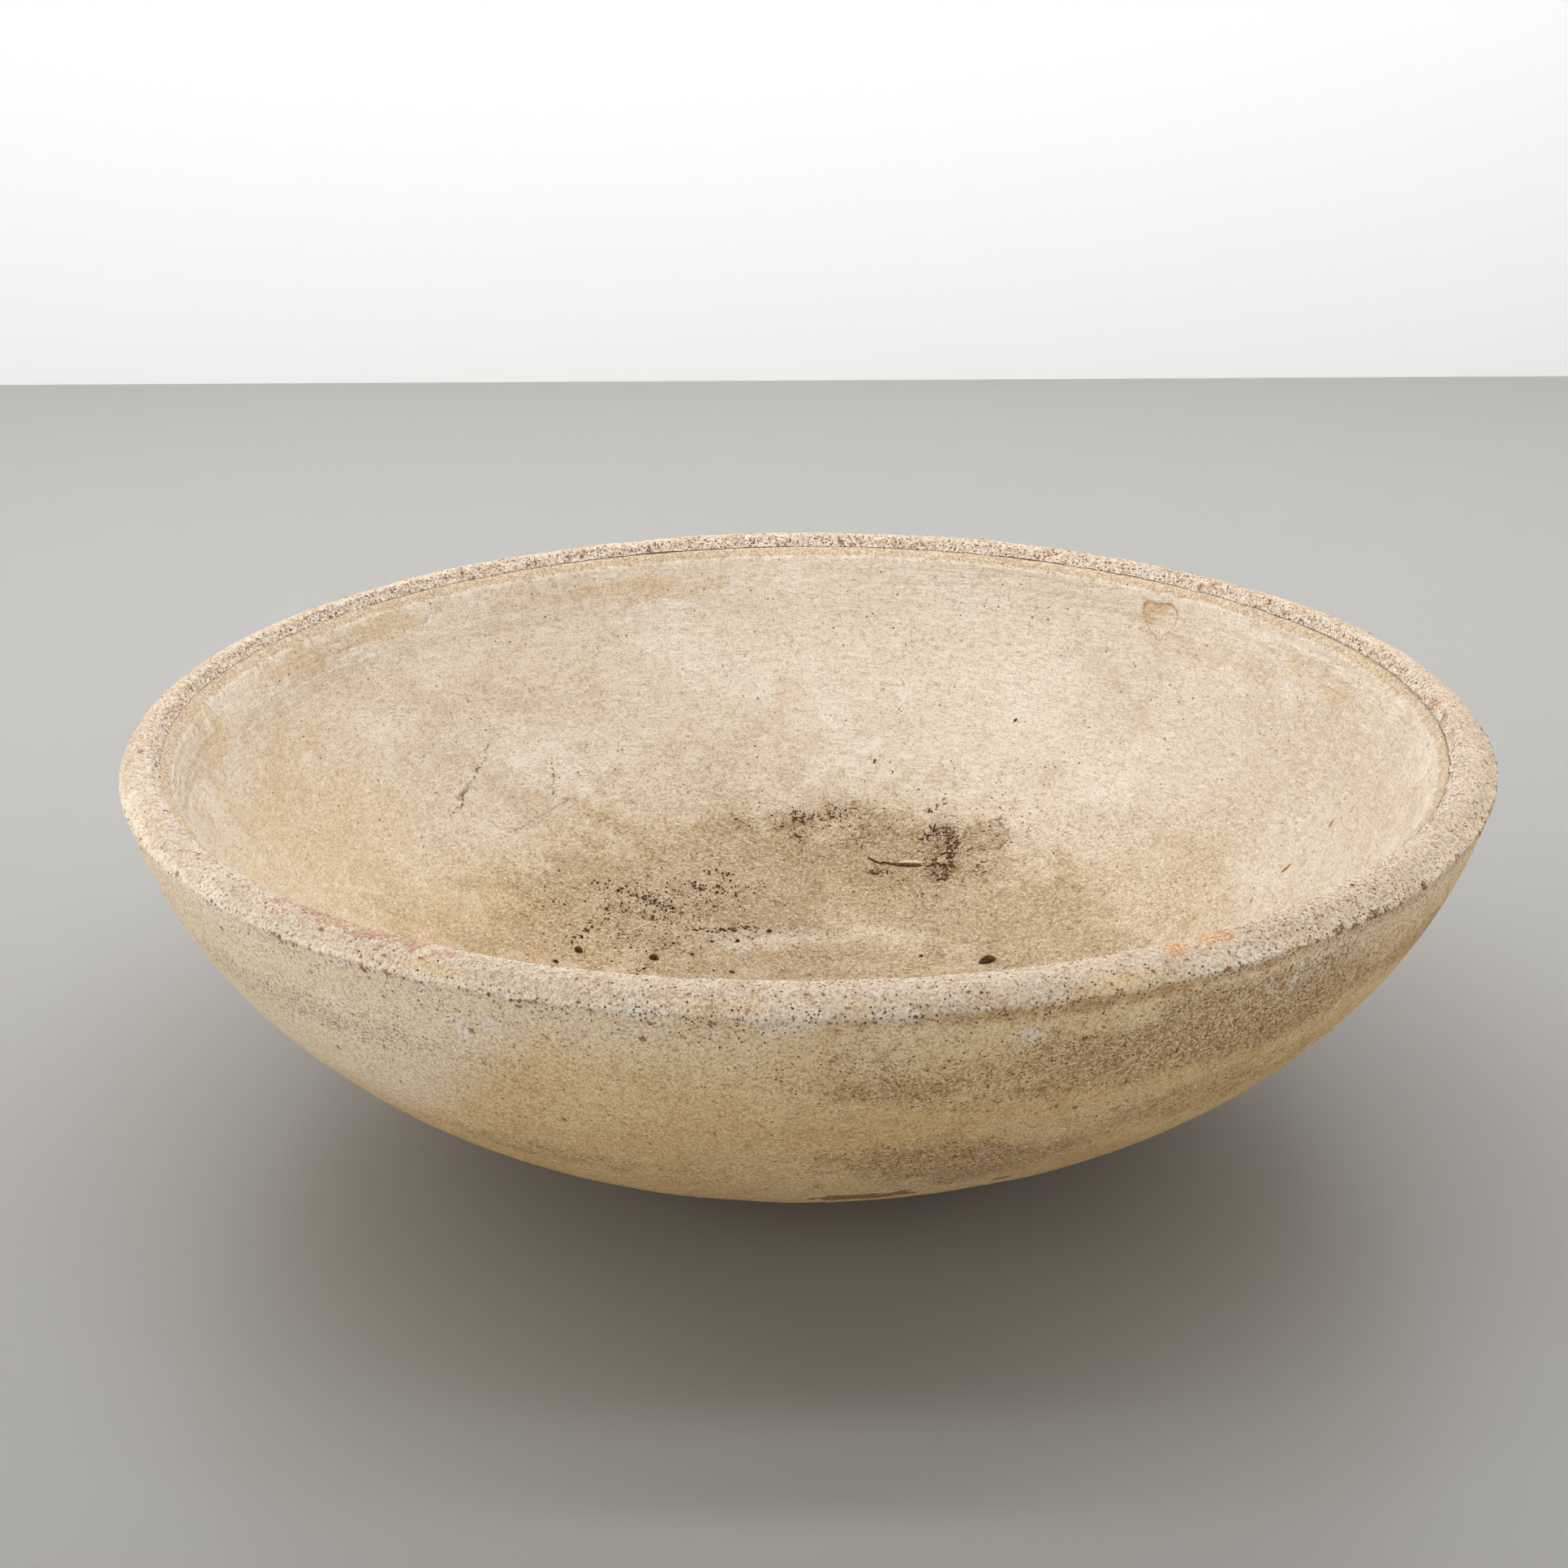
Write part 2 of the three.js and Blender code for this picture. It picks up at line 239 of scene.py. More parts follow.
def even(line, pitch):
    """The same line with points about a pitch apart."""
    run = run_along(line)
    at = np.linspace(0, run[-1], max(2, int(round(run[-1] / pitch)) + 1))
    return np.stack([np.interp(at, run, part) for part in line.T], -1)


def normals(line):
    """Square to a line, to the right of its direction of travel."""
    along = np.gradient(line, axis=0)
    along /= np.maximum(np.hypot(*along.T), TINY)[:, None]
    return np.stack([along[:, 1], -along[:, 0]], -1)


def inside_line(depth, top):
    """A face set in from the outside wall by depth, from height top down to the drain hole."""
    wall = outside_point(np.linspace(0, 1, FACE_STEPS))
    face = wall + depth * normals(wall)
    first = int(np.argmax(face[:, 1] < top))
    share = (face[first - 1, 1] - top) / (face[first - 1, 1] - face[first, 1])
    start = face[first - 1] + share * (face[first] - face[first - 1])
    face = np.vstack([start, face[first:]])
    edge = face[-1]
    slope = (edge - face[-2]) / np.hypot(*(edge - face[-2]))
    end = np.array([DRAIN_RADIUS, edge[1] - DRAIN_FALL])
    bend = edge + slope * (edge[0] - end[0]) / 2
    u = np.linspace(0, 1, FLOOR_STEPS)[1:, None]
    floor = (1 - u) ** 2 * edge + 2 * u * (1 - u) * bend + u * u * end
    return np.vstack([face, floor])


def cavity_shift(height):
    """How far the inside is struck off centre at a height."""
    return CAVITY_OFFSET * (np.maximum(height, 0) / LIP_HEIGHT) ** 2


# ---- mesh making

def closed_faces(rows, columns):
    """Quads of a grid that closes on itself both ways."""
    row, column = np.meshgrid(np.arange(rows), np.arange(columns), indexing="ij")
    after, below = (column + 1) % columns, (row + 1) % rows
    here, under = row * columns, below * columns
    return np.stack([here + column, here + after, under + after, under + column], -1).reshape(-1, 4)


def add_object(name, data):
    obj = bpy.data.objects.new(name, data)
    bpy.context.scene.collection.objects.link(obj)
    return obj


def make_mesh(name, points, quads, masks, vectors):
    """An object from arrays in millimetres, with its masks and vectors as attributes of its vertices."""
    mesh = bpy.data.meshes.new(name)
    mesh.vertices.add(len(points))
    mesh.vertices.foreach_set("co", (points * MM).astype(np.float32).ravel())
    mesh.loops.add(quads.size)
    mesh.loops.foreach_set("vertex_index", quads.astype(np.int32).ravel())
    mesh.polygons.add(len(quads))
    mesh.polygons.foreach_set("loop_start", np.arange(0, quads.size, quads.shape[1], dtype=np.int32))
    mesh.polygons.foreach_set("use_smooth", np.full(len(quads), True))
    mesh.update(calc_edges=True)
    for key, values in masks.items():
        layer = mesh.attributes.new(key, "FLOAT", "POINT")
        layer.data.foreach_set("value", np.clip(values, -1, 4).astype(np.float32))
    for key, values in vectors.items():
        layer = mesh.attributes.new(key, "FLOAT_VECTOR", "POINT")
        layer.data.foreach_set("vector", values.astype(np.float32).ravel())
    mesh.validate()
    return add_object(name, mesh)


class Lathe:
    """A closed profile turned round the bowl, as rows of points, with what its relief needs."""

    def __init__(self, shown, hidden, shift, columns):
        line = np.vstack([shown, hidden])
        self.rows, self.columns = len(line), columns
        self.faces = closed_faces(self.rows, columns)
        self.azimuth = np.tile(np.arange(columns) * 2 * math.pi / columns, self.rows)
        self.radius, self.height = (np.repeat(part, columns) for part in line.T)
        self.run = np.repeat(run_along(line), columns)
        self.shift = np.repeat(shift, columns)
        self.seen = np.repeat(np.arange(self.rows) < len(shown), columns).astype(float)
        square = normals(np.vstack([line[-1:], line, line[:1]]))[1:-1]
        self.out_r, self.out_z = (np.repeat(part, columns) for part in square.T)
        self.cos, self.sin = np.cos(self.azimuth), np.sin(self.azimuth)
        self.points = self.at(self.radius, self.height)
        self.degrees = np.degrees(np.arctan2(self.points[:, 1], self.points[:, 0]))

    def at(self, radius, height):
        return np.stack([radius * self.cos + self.shift, radius * self.sin, height], -1)

    def moved(self, out, radial, up):
        """The points after the relief: moved out along the face's normal, and radially and up."""
        return self.at(self.radius + out * self.out_r + radial, self.height + out * self.out_z + up)

    def sweep(self):
        """Texture coordinates for brushed marks that run round the bowl."""
        return np.stack([SWEEP_RING * self.cos, SWEEP_RING * self.sin, self.run * MM * SWEEP_ALONG], -1)

    def round_noise(self, size, octaves, seed):
        """Noise that changes only round the bowl, the same in every row."""
        turn = self.azimuth[:self.columns]
        ring = RING_RADIUS * np.stack([np.cos(turn), np.sin(turn), 0 * turn], -1)
        return np.tile(fbm(ring, size, octaves, seed), self.rows)


def place(x, y, z):
    return np.array((x, y, z), float)


# how many half lengths from a patch's middle it may still show
PATCH_REACH = 2.2


def patch(points, centre, around, down, seed, soft=0.45, ragged=0.35):
    """A soft ragged patch: 1 in the middle and 0 outside, with half lengths round the bowl and down."""
    centre = place(*centre)
    radial = centre * (1, 1, 0)
    radial /= max(np.linalg.norm(radial), TINY)
    tangent = place(-radial[1], radial[0], 0)
    d = points - centre
    u = d @ tangent
    v = np.sqrt(np.maximum((d * d).sum(1) - u * u, 0))
    reach = np.sqrt((u / around) ** 2 + (v / down) ** 2)
    near = reach < PATCH_REACH
    out = np.zeros(len(points))
    if near.any():
        size = min(around, down)
        wobble = fbm(points[near], size * 0.9, 4, seed)
        out[near] = 1 - step(1 - soft, 1 + soft, reach[near] + ragged * wobble)
    return out


def spots(points, rows, join=np.maximum):
    """Patches joined into one mask. A row is a strength and then what patch takes."""
    out = np.zeros(len(points))
    for strength, *shape in rows:
        out = join(out, strength * patch(points, *shape))
    return out


# ---- shell

def lip_wobble(lathe):
    """How far the lining's edge strays from its circle, in millimetres, outwards."""
    turn = lathe.azimuth
    slow = 2.0 * np.sin(turn + 0.9) + 1.5 * np.sin(2 * turn + 2.1) + 0.9 * np.sin(5 * turn + 0.4)
    return slow + 1.3 * lathe.round_noise(19, 3, 5) + 1.0 * lathe.round_noise(5, 2, 6)


def shell_lines():
    """The shell's profile: the part that shows, then the part that lies against the lining."""
    bed = inside_line(SHELL_THICKNESS, LIP_HEIGHT + GAP)
    bead_z = HEIGHT - BEAD_RADIUS
    first = math.asin((SEAM_HEIGHT - bead_z) / BEAD_RADIUS)
    bead_x = RIM_RADIUS - BEAD_RADIUS * math.cos(first)
    flank = bed[0, 0] - LIP_TUCK
    last = math.acos((flank + FLANK_SLOPE - bead_x) / BEAD_RADIUS)
    turn = np.linspace(last, first, BEAD_STEPS)
    bead = np.stack([bead_x + BEAD_RADIUS * np.cos(turn), bead_z + BEAD_RADIUS * np.sin(turn)], -1)
    top = even(np.vstack([[(flank, LIP_HEIGHT + GAP)], bead]), BEAD_PITCH)
    wall = outside_point(np.linspace(0, 1, WALL_STEPS))
    seam_rows = int(np.argmax(wall[:, 1] < SEAM_HEIGHT - SEAM_ZONE))
    side = np.vstack([even(wall[:seam_rows + 1], SEAM_PITCH)[1:], even(wall[seam_rows:], WALL_PITCH)[1:]])
    foot = even(np.array([(FOOT_RADIUS, 0.0), (FOOT_INNER, 0.0)]), FOOT_PITCH)
    hole = [(HOLE_MARGIN, 0.0), (DRAIN_RADIUS, 0.0), (DRAIN_RADIUS, BORE_TOP)]
    return np.vstack([top, side, foot]), np.vstack([hole, even(bed[::-1], HIDDEN_PITCH)])


# Tables round the bowl, as (degrees, share), or (degrees, millimetres) where they say so.

# how coarse the rim and the coat under it are
STIPPLE = (
    (-180, 0.4), (-150, 0.15), (-125, 0.15), (-100, 0.3), (-61, 0.14), (-54, 0.5), (-30, 0.45),
    (20, 0.45), (60, 0.8), (110, 0.6), (150, 0.5), (180, 0.5),
)
# how far the rim is a warm tan instead of cream; on the right side the tan is painted shade that darkens
# the rim where the lamps light it more strongly
RIM_TAN_AND_SHADE = (
    (-180, 0.8), (-155, 1.0), (-122, 1.0), (-108, 0.5), (-95, 0.1), (-40, 0.0), (-22, 1.0), (40, 0.9),
    (80, 0.3), (110, 0.1), (130, 0.0), (150, 0.1), (180, 0.6),
)
# how pitted the casting is along the mould line
PITTED = ((-180, 0.2), (-145, 0.2), (-130, 0.6), (-80, 1.0), (60, 1.0), (120, 0.6), (180, 0.2))
# how much brown dirt hangs under the mould line
SOIL = (
    (-180, 0.0), (-135, 0.1), (-120, 0.4), (-100, 0.25), (-86, 0.5), (-70, 0.9), (-55, 0.6), (60, 0.6),
    (100, 0.4), (180, 0.1),
)
# how far the wall under the mould line is washed pale
BLEACH = (
    (-180, 1.0), (-150, 1.0), (-128, 1.0), (-112, 0.8), (-100, 0.5), (-88, 0.2), (-75, 0.0), (-62, 0.0),
    (-46, 0.55), (-36, 0.8), (-22, 0.5), (0, 0.3), (60, 0.3), (150, 0.3), (180, 1.0),
)
# how far down that wash reaches, as (degrees, millimetres)
BLEACH_DROP = (
    (-180, 150), (-128, 140), (-118, 84), (-110, 34), (-98, 22), (-60, 18), (150, 40), (180, 150),
)
# where the mould line is a sharp step instead of a worn groove
LEDGE = (
    (-180, 0.15), (-105, 0.0), (-72, 0.0), (-52, 0.8), (-30, 0.5), (60, 0.6), (100, 0.3), (180, 0.15),
)
# how much of the mould line's groove is left
GROOVE = (
    (-180, 0.4), (-160, 0.2), (-145, 0.25), (-132, 0.55), (-112, 0.55), (-98, 0.3), (-80, 0.22),
    (-66, 0.4), (-52, 0.7), (60, 0.8), (100, 0.6), (150, 0.5), (180, 0.5),
)


def by_angle(table, deg):
    return np.interp(deg, *np.transpose(table))


def build_shell():
    shown, hidden = shell_lines()
    line = np.vstack([shown, hidden])
    inner = shown[0, 0]
    on_rim = (line[:, 1] >= SEAM_HEIGHT) & (np.arange(len(line)) < len(shown))
    inward = np.clip((RIM_RADIUS - line[:, 0]) / (RIM_RADIUS - inner), 0, 1)
    shift = np.where(on_rim, CAVITY_OFFSET * inward, 0)
    bed = len(shown) + ROWS_TO_BED
    shift[bed:] = cavity_shift(line[bed:, 1])
    lathe = Lathe(shown, hidden, shift, SHELL_COLUMNS)
    p, r, z, seen, deg = lathe.points, lathe.radius, lathe.height, lathe.seen, lathe.degrees
    rim = seen * step(SEAM_HEIGHT - 3, SEAM_HEIGHT + 1, z)
    flank = rim * (1 - step(inner + 4, inner + 12, r))
    crest = rim * step(268, 274, z)
    below = SEAM_HEIGHT - z

    # how coarse the face is: most on the rim's inner side, on the right and just under the mould line
    skirt = (1 - rim) * step(58, 14, below + 12 * fbm(p, 60, 3, 27))
    stipple = by_angle(STIPPLE, deg) + 0.22 * fbm(p, 60, 2, 28)
    coarse = np.clip(0.6 * flank + (rim + 0.6 * skirt) * stipple, 0, 1)

    # relief of the casting
    wave = 0.9 * fbm(p, 170, 2, 11) + 0.5 * fbm(p, 48, 2, 12)
    sand = fbm(p, 7.5, 2, 13)
    grit = gradient_noise(p, 3.4, 14)
    out = wave + (0.18 + 0.82 * coarse) * (0.28 * sand + 0.36 * grit)
    drift = 2.2 * lathe.round_noise(150, 3, 21)
    d = z - (SEAM_HEIGHT - 1.2 + drift)
    along = np.exp(-((d + 1.5) / 5.5) ** 2) * seen * by_angle(PITTED, deg)
    gap, chance = cells(p, PIT_PITCH, 15)
    pit = (1 - step(0.5, 2.3, gap)) * (chance < 0.05 + 0.45 * coarse + 0.4 * along)
    gap, chance = cells(p, CAVITY_PITCH, 16)
    cavity = (1 - step(1.0, 3.6 + 2 * chance, gap)) * (chance < 0.05 + 0.16 * coarse + 0.42 * along)
    exposed = 0.4 + 0.6 * np.maximum(rim, along)
    out -= seen * (PIT_DEPTH * pit + (CAVITY_DEPTH - 0.6 * flank) * cavity * exposed)

    # the mould line: a worn groove under an edge that stands a little proud, lost in places
    worn = step(-0.45, 0.35, lathe.round_noise(60, 3, 22) + 0.25)
    edge = gradient_noise(p, 6, 23) + 0.7 * gradient_noise(p, 3, 24)
    left = by_angle(GROOVE, deg)
    groove = np.exp(-((d + 1.1 * edge) / GROOVE_HALF_WIDTH) ** 2) * (0.3 + 0.7 * worn) * left
    proud = np.exp(-((d - 4.2) / 3.4) ** 2) * worn * left
    ledge = by_angle(LEDGE, deg) * step(1.0, -1.0, d + 1.8 * edge) * step(40, 4, below)
    out += seen * (PROUD_HEIGHT * proud - GROOVE_DEPTH * groove - LEDGE_DEPTH * ledge)

    # the rim was patted flat by hand, so its crest wanders
    crest_wave = 0.9 * lathe.round_noise(230, 2, 25) + 0.45 * lathe.round_noise(40, 2, 26)
    up = rim * step(SEAM_HEIGHT, HEIGHT - 4, z) * (crest_wave - 0.5)
    radial = flank * lip_wobble(lathe) * step(inner + 14, inner, r)
    foot = step(2.0, 14.0, z) * seen
    points = lathe.moved((out - 0.3) * foot, radial * seen, up * seen)

    masks = shell_masks(lathe, rim, crest, below)
    soil = by_angle(SOIL, deg) * np.exp(-((d + 4) / 6) ** 2) * seen
    masks |= dict(rim=rim, coarse=coarse, pits=np.clip(pit + cavity, 0, 1), groove=groove, seam=along,
                  flank=flank, soil=soil)
    return make_mesh("bowl_shell_cast", points, lathe.faces, masks, {})


# grime on the wall, as (degrees, height, half width in degrees, half height, strength)
GRIME_SPOTS = (
    (-84, 212, 14, 26, 0.45), (-66, 214, 20, 30, 0.75), (-47, 210, 18, 34, 0.7),
    (-55, 212, 13, 34, 1.05), (-85, 206, 10, 15, 0.7), (-34, 208, 16, 18, 0.7),
    (-134, 206, 24, 15, 0.6), (-66, 196, 22, 16, 0.6), (-56, 240, 12, 14, 0.9),
    (-112, 120, 20, 14, 0.45), (-78, 124, 14, 34, 0.9), (-56, 150, 18, 26, 0.5), (20, 225, 40, 25, 0.7),
    (120, 222, 46, 22, 0.6), (70, 150, 30, 40, 0.5), (170, 160, 30, 30, 0.5),
)
# pale lime marks, as (degrees, height, half length round the bowl, half length down it)
LIME_SPOTS = (
    (-134.1, 193, 7, 4), (-127.2, 222, 4, 4), (-115.5, 233, 6, 9), (-140.4, 258, 22, 14),
    (-148, 262, 30, 8), (-156, 266, 30, 6), (-136, 250, 10, 9), (-91.4, 262, 24, 9), (-74.4, 240, 7, 7),
    (-84, 262, 16, 5), (-118, 259, 8, 7), (-128, 226, 6, 7), (-58, 266, 40, 6), (-102, 264, 20, 6),
    (15, 262, 30, 10), (75, 262, 30, 9), (150, 258, 24, 14), (-113, 238, 5, 6), (-149, 262, 14, 8),
    (-160, 256, 30, 20), (-126, 262, 14, 6), (-52, 240, 3, 14),
)

# rust bleeds, reddish scrapes and stuck mud: strength, place, half lengths, seed, softness, raggedness
SHELL_SPOTS = {
    "rust": (
        (1, (212, -408, 275), 8, 9, 61, 0.6, 0.5), (1, (238, -394, 275), 13, 8, 62, 0.6, 0.5),
    ),
    "red": (
        (1.1, (445, 26, 271), 10, 6, 64), (1.1, (450, -6, 273), 8, 4, 65),
        (0.9, (-263, -372, 273), 74, 13, 66, 0.6, 0.6), (0.35, (-330, -300, 273), 60, 14, 72, 0.7, 0.6),
    ),
    "mud": (
        (1, (32, -346, 78), 34, 12, 67, 0.5, 0.6), (0.7, (120, -341, 87), 9, 6, 68),
    ),
}


def shell_masks(lathe, rim, crest, below):
    """Where each colour of the weathering lies on the shell, with the painted highlight on the rim's
    crest and painted shade on its right side.
    """
    p, z, deg = lathe.points, lathe.height, lathe.degrees
    bands = p * (1.0, 1.0, 5.5)
    warp = fbm(p, 130, 3, 31)
    ochre = step(0.2, 1.0, 0.5 + 0.5 * fbm(bands, 190, 4, 32) + 0.25 * warp)
    ochre *= step(30, 90, below) * (1 - rim)
    grime = np.zeros(len(p))
    ragged = 0.45 * fbm(p, 60, 4, 33)
    for angle, height, wide, tall, strength in GRIME_SPOTS:
        off = (deg - angle + 180) % 360 - 180
        reach = np.sqrt((off / wide) ** 2 + ((z - height) / tall) ** 2) + ragged
        grime = np.maximum(grime, strength * (1 - step(0.35, 1.25, reach)))
    grime *= 1 - rim
    shade = step(4, 84, below + 16 * warp) * (1 - rim)
    wall = outside_point(np.linspace(1, 0, WALL_STEPS))
    lime = []
    for k, (angle, height, around, down) in enumerate(LIME_SPOTS):
        a = math.radians(angle)
        radius = np.interp(height, wall[:, 1], wall[:, 0]) if height < SEAM_HEIGHT else RIM_RADIUS - 2
        at = (radius * math.cos(a), radius * math.sin(a), height)
        lime.append((1, at, around, down, 40 + k, 0.5, 0.6))
    mud = spots(p, SHELL_SPOTS["mud"], np.add)
    mud += 0.35 * step(40, 8, z) * step(0.0, 0.9, 0.5 + fbm(p, 40, 3, 69))
    # pale places on the rim: paler at random, plus a painted highlight along the crest
    pale = step(-0.5, 0.7, fbm(p, 75, 3, 70) + 0.8 * crest + 0.2)
    # the rim's warm tan: its own colour on the left, painted shade on the right
    rim_tan_and_shade = by_angle(RIM_TAN_AND_SHADE, deg) * rim * step(-0.9, 0.5, fbm(p, 40, 3, 71))
    drop = by_angle(BLEACH_DROP, deg)
    bleach = by_angle(BLEACH, deg) * step(272, 264, z) * step(drop + 26, drop - 26, below + 16 * warp)
    rust, red = (spots(p, SHELL_SPOTS[key], np.add) for key in ("rust", "red"))
    return dict(bleach=bleach, shade=shade, ochre=ochre, rim_tan_and_shade=rim_tan_and_shade, grime=grime, lime=spots(p, lime),
                rust=rust, red=red, mud=mud, pale=pale)


# ---- lining

def lining_lines():
    """The lining's profile: the face that shows, its back, and the radius of the face at its top."""
    face = inside_line(SHELL_THICKNESS + LINING_THICKNESS, LIP_HEIGHT)
    back = inside_line(SHELL_THICKNESS + GAP, LIP_HEIGHT)
    lip = np.array([(face[0, 0] + out, LIP_HEIGHT - down) for out, down in LIP_ROUNDING])
    low = face[face[:, 1] < LIP_HEIGHT - LIP_REACH]
    start = [(back[0, 0] - LIP_OVERLAP, LIP_HEIGHT)]
    shown = np.vstack([start, even(np.vstack([lip, low]), LINING_PITCH)])
    return shown, even(back[::-1], HIDDEN_PITCH), face[0, 0]


def build_lining():
    shown, hidden, face_top = lining_lines()
    shift = cavity_shift(np.vstack([shown, hidden])[:, 1])
    lathe = Lathe(shown, hidden, shift, LINING_COLUMNS)
    p, r, z, seen = lathe.points, lathe.radius, lathe.height, lathe.seen

    # the trowel left the face a little uneven, and ridges under the edge where it was drawn round
    hole = step(DRAIN_RADIUS + 1, DRAIN_RADIUS + 12, r)
    wave = 1.3 * fbm(p, 190, 2, 111) + 0.6 * fbm(p, 60, 2, 112)
    fine = 0.10 * fbm(p, 9, 2, 113)
    rise = lathe.run + 9 * lathe.round_noise(190, 2, 114)
    band = np.exp(-((LIP_HEIGHT - z - 24) / 24) ** 2)
    ridges = np.sin(rise / 6.0 * 2 * math.pi + 3 * lathe.round_noise(130, 3, 115))
    ridges += 0.6 * np.sin(rise / 3.7 * 2 * math.pi + 4 * lathe.round_noise(90, 3, 120))
    broken = step(-0.3, 0.5, fbm(p * (1.0, 1.0, 6.0), 300, 3, 116) + 0.1)
    comb = band * by_angle(TROWELLED, lathe.degrees) * broken
    out = wave * hole + fine + RIDGE_HEIGHT * comb * ridges

    chip, chip_tan = chip_masks(p)
    out -= CHIP_DEPTH * chip
    gap, chance = cells(p, LINING_PIT_PITCH, 118)
    pit = (1 - step(0.6, 2.0, gap)) * (chance < 0.05)
    out -= LINING_PIT_DEPTH * pit

    lip = lip_wobble(lathe) * step(225, 262, z) * step(face_top + 9, face_top + 4, r)
    edge = np.exp(-((r - face_top - 2) / 4.5) ** 2) * step(258, 265.5, z)
    up = edge * (0.5 * lathe.round_noise(34, 3, 119) + 0.4 * lathe.round_noise(8, 2, 121) - 0.2)
    points = lathe.moved(out * seen * step(LIP_HEIGHT + 1, LIP_HEIGHT - 4, z), lip * seen, up * seen)

    masks = lining_masks(lathe)
    # the lining's top edge: partly its real tan, partly painted shade over its lip's highlight
    masks |= dict(chip=chip, chip_tan=chip_tan, comb=comb, pits=pit,
                  lip_tan_and_shade=seen * step(face_top - 3.0, face_top + 3.0, r) * step(255, 262, z))
    obj = make_mesh("inner_lining_trowelled", points, lathe.faces, masks, {"sweep": lathe.sweep()})
    return obj, Ground(points[:len(shown) * LINING_COLUMNS], shown)


CHIP = place(288, 322, 241)
# the chip's outline, as (right along the wall, up the wall) in millimetres
CHIP_OUTLINE = (
    (-17, 10), (-13, 13), (-6, 11.5), (2, 13), (10, 12.5), (16, 8), (17.5, 1), (14, -6), (7, -12),
    (1, -14), (-5, -11), (-11, -5), (-15, 1),
)


def chip_masks(points):
    """1 inside the chip's outline falling to 0 outside it, and the part of it stained tan."""
    out, tan = np.zeros(len(points)), np.zeros(len(points))
    d = points - CHIP
    near = (d * d).sum(1) < 30.0**2
    ahead = place(CHIP[0], CHIP[1], 0) / math.hypot(CHIP[0], CHIP[1])
    right = place(ahead[1], -ahead[0], 0)
    u = d[near] @ right
    flat = d[near] @ ahead
    v = np.hypot(flat, d[near][:, 2]) * np.sign(d[near][:, 2])
    angle = np.arctan2(v, u)
    rim = np.array(CHIP_OUTLINE, float)
    turn = np.arctan2(rim[:, 1], rim[:, 0])
    order = np.argsort(turn)
    reach = np.interp(angle, turn[order], np.hypot(*rim.T)[order], period=2 * math.pi)
    reach *= 1 + 0.05 * gradient_noise(points[near], 5, 122)
    away = np.hypot(u, v) - reach
    out[near] = step(1.8, -1.8, away)
    tan[near] = step(8, -12, u - v + 4 * gradient_noise(points[near], 9, 123))
    return out, tan


# where the trowel's ridges show under the edge
TROWELLED = (
    (-180, 1.0), (-150, 1.0), (-120, 0.5), (-60, 0.4), (0, 0.5), (30, 0.9), (60, 1.0), (85, 0.5),
    (105, 0.9), (125, 0.5), (145, 0.9), (180, 1.0),
)
# tan places on the lining, as (x, y, height, half length round the bowl, half length down it, strength)
TAN_SPOTS = (
    (-440, 38, 238, 34, 26, 0.75), (-391, 200, 248, 60, 12, 0.9), (-340, 280, 250, 60, 10, 0.85),
    (-150, 408, 240, 90, 12, 0.75), (-230, 372, 244, 50, 12, 0.5), (396, 165, 236, 70, 13, 0.7),
    (335, 262, 226, 80, 9, 0.6), (-60, 417, 243, 60, 12, 0.5), (95, 408, 239, 50, 9, 0.6),
    (-64, 356, 133, 90, 40, 0.4), (-240, 40, 70, 120, 60, 0.8), (0, -420, 235, 160, 30, 0.7),
    (300, -290, 225, 120, 30, 0.5), (-300, -200, 140, 120, 70, 0.4), (200, -200, 90, 90, 50, 0.5),
    (-375, 195, 212, 90, 34, 0.6), (-244, 323, 182, 110, 44, 0.5),
)
# whitish dusty places, laid out as the tan ones are
DUST_SPOTS = (
    (-22, 127, 40, 60, 13, 0.8), (64, 138, 43, 50, 9, 0.7), (-255, 200, 105, 16, 60, 0.5),
    (-339, 234, 192, 70, 36, 0.5), (-300, 290, 215, 70, 26, 0.6), (40, 380, 200, 150, 44, 0.9),
    (160, 335, 165, 110, 46, 0.9), (220, 238, 100, 80, 42, 0.8), (290, 160, 105, 60, 60, 0.3),
    (-120, 300, 110, 70, 30, 0.7), (-210, 350, 200, 60, 30, 0.6), (303, 233, 155, 50, 80, 0.7),
    (-279, 188, 113, 60, 46, 0.6),
)

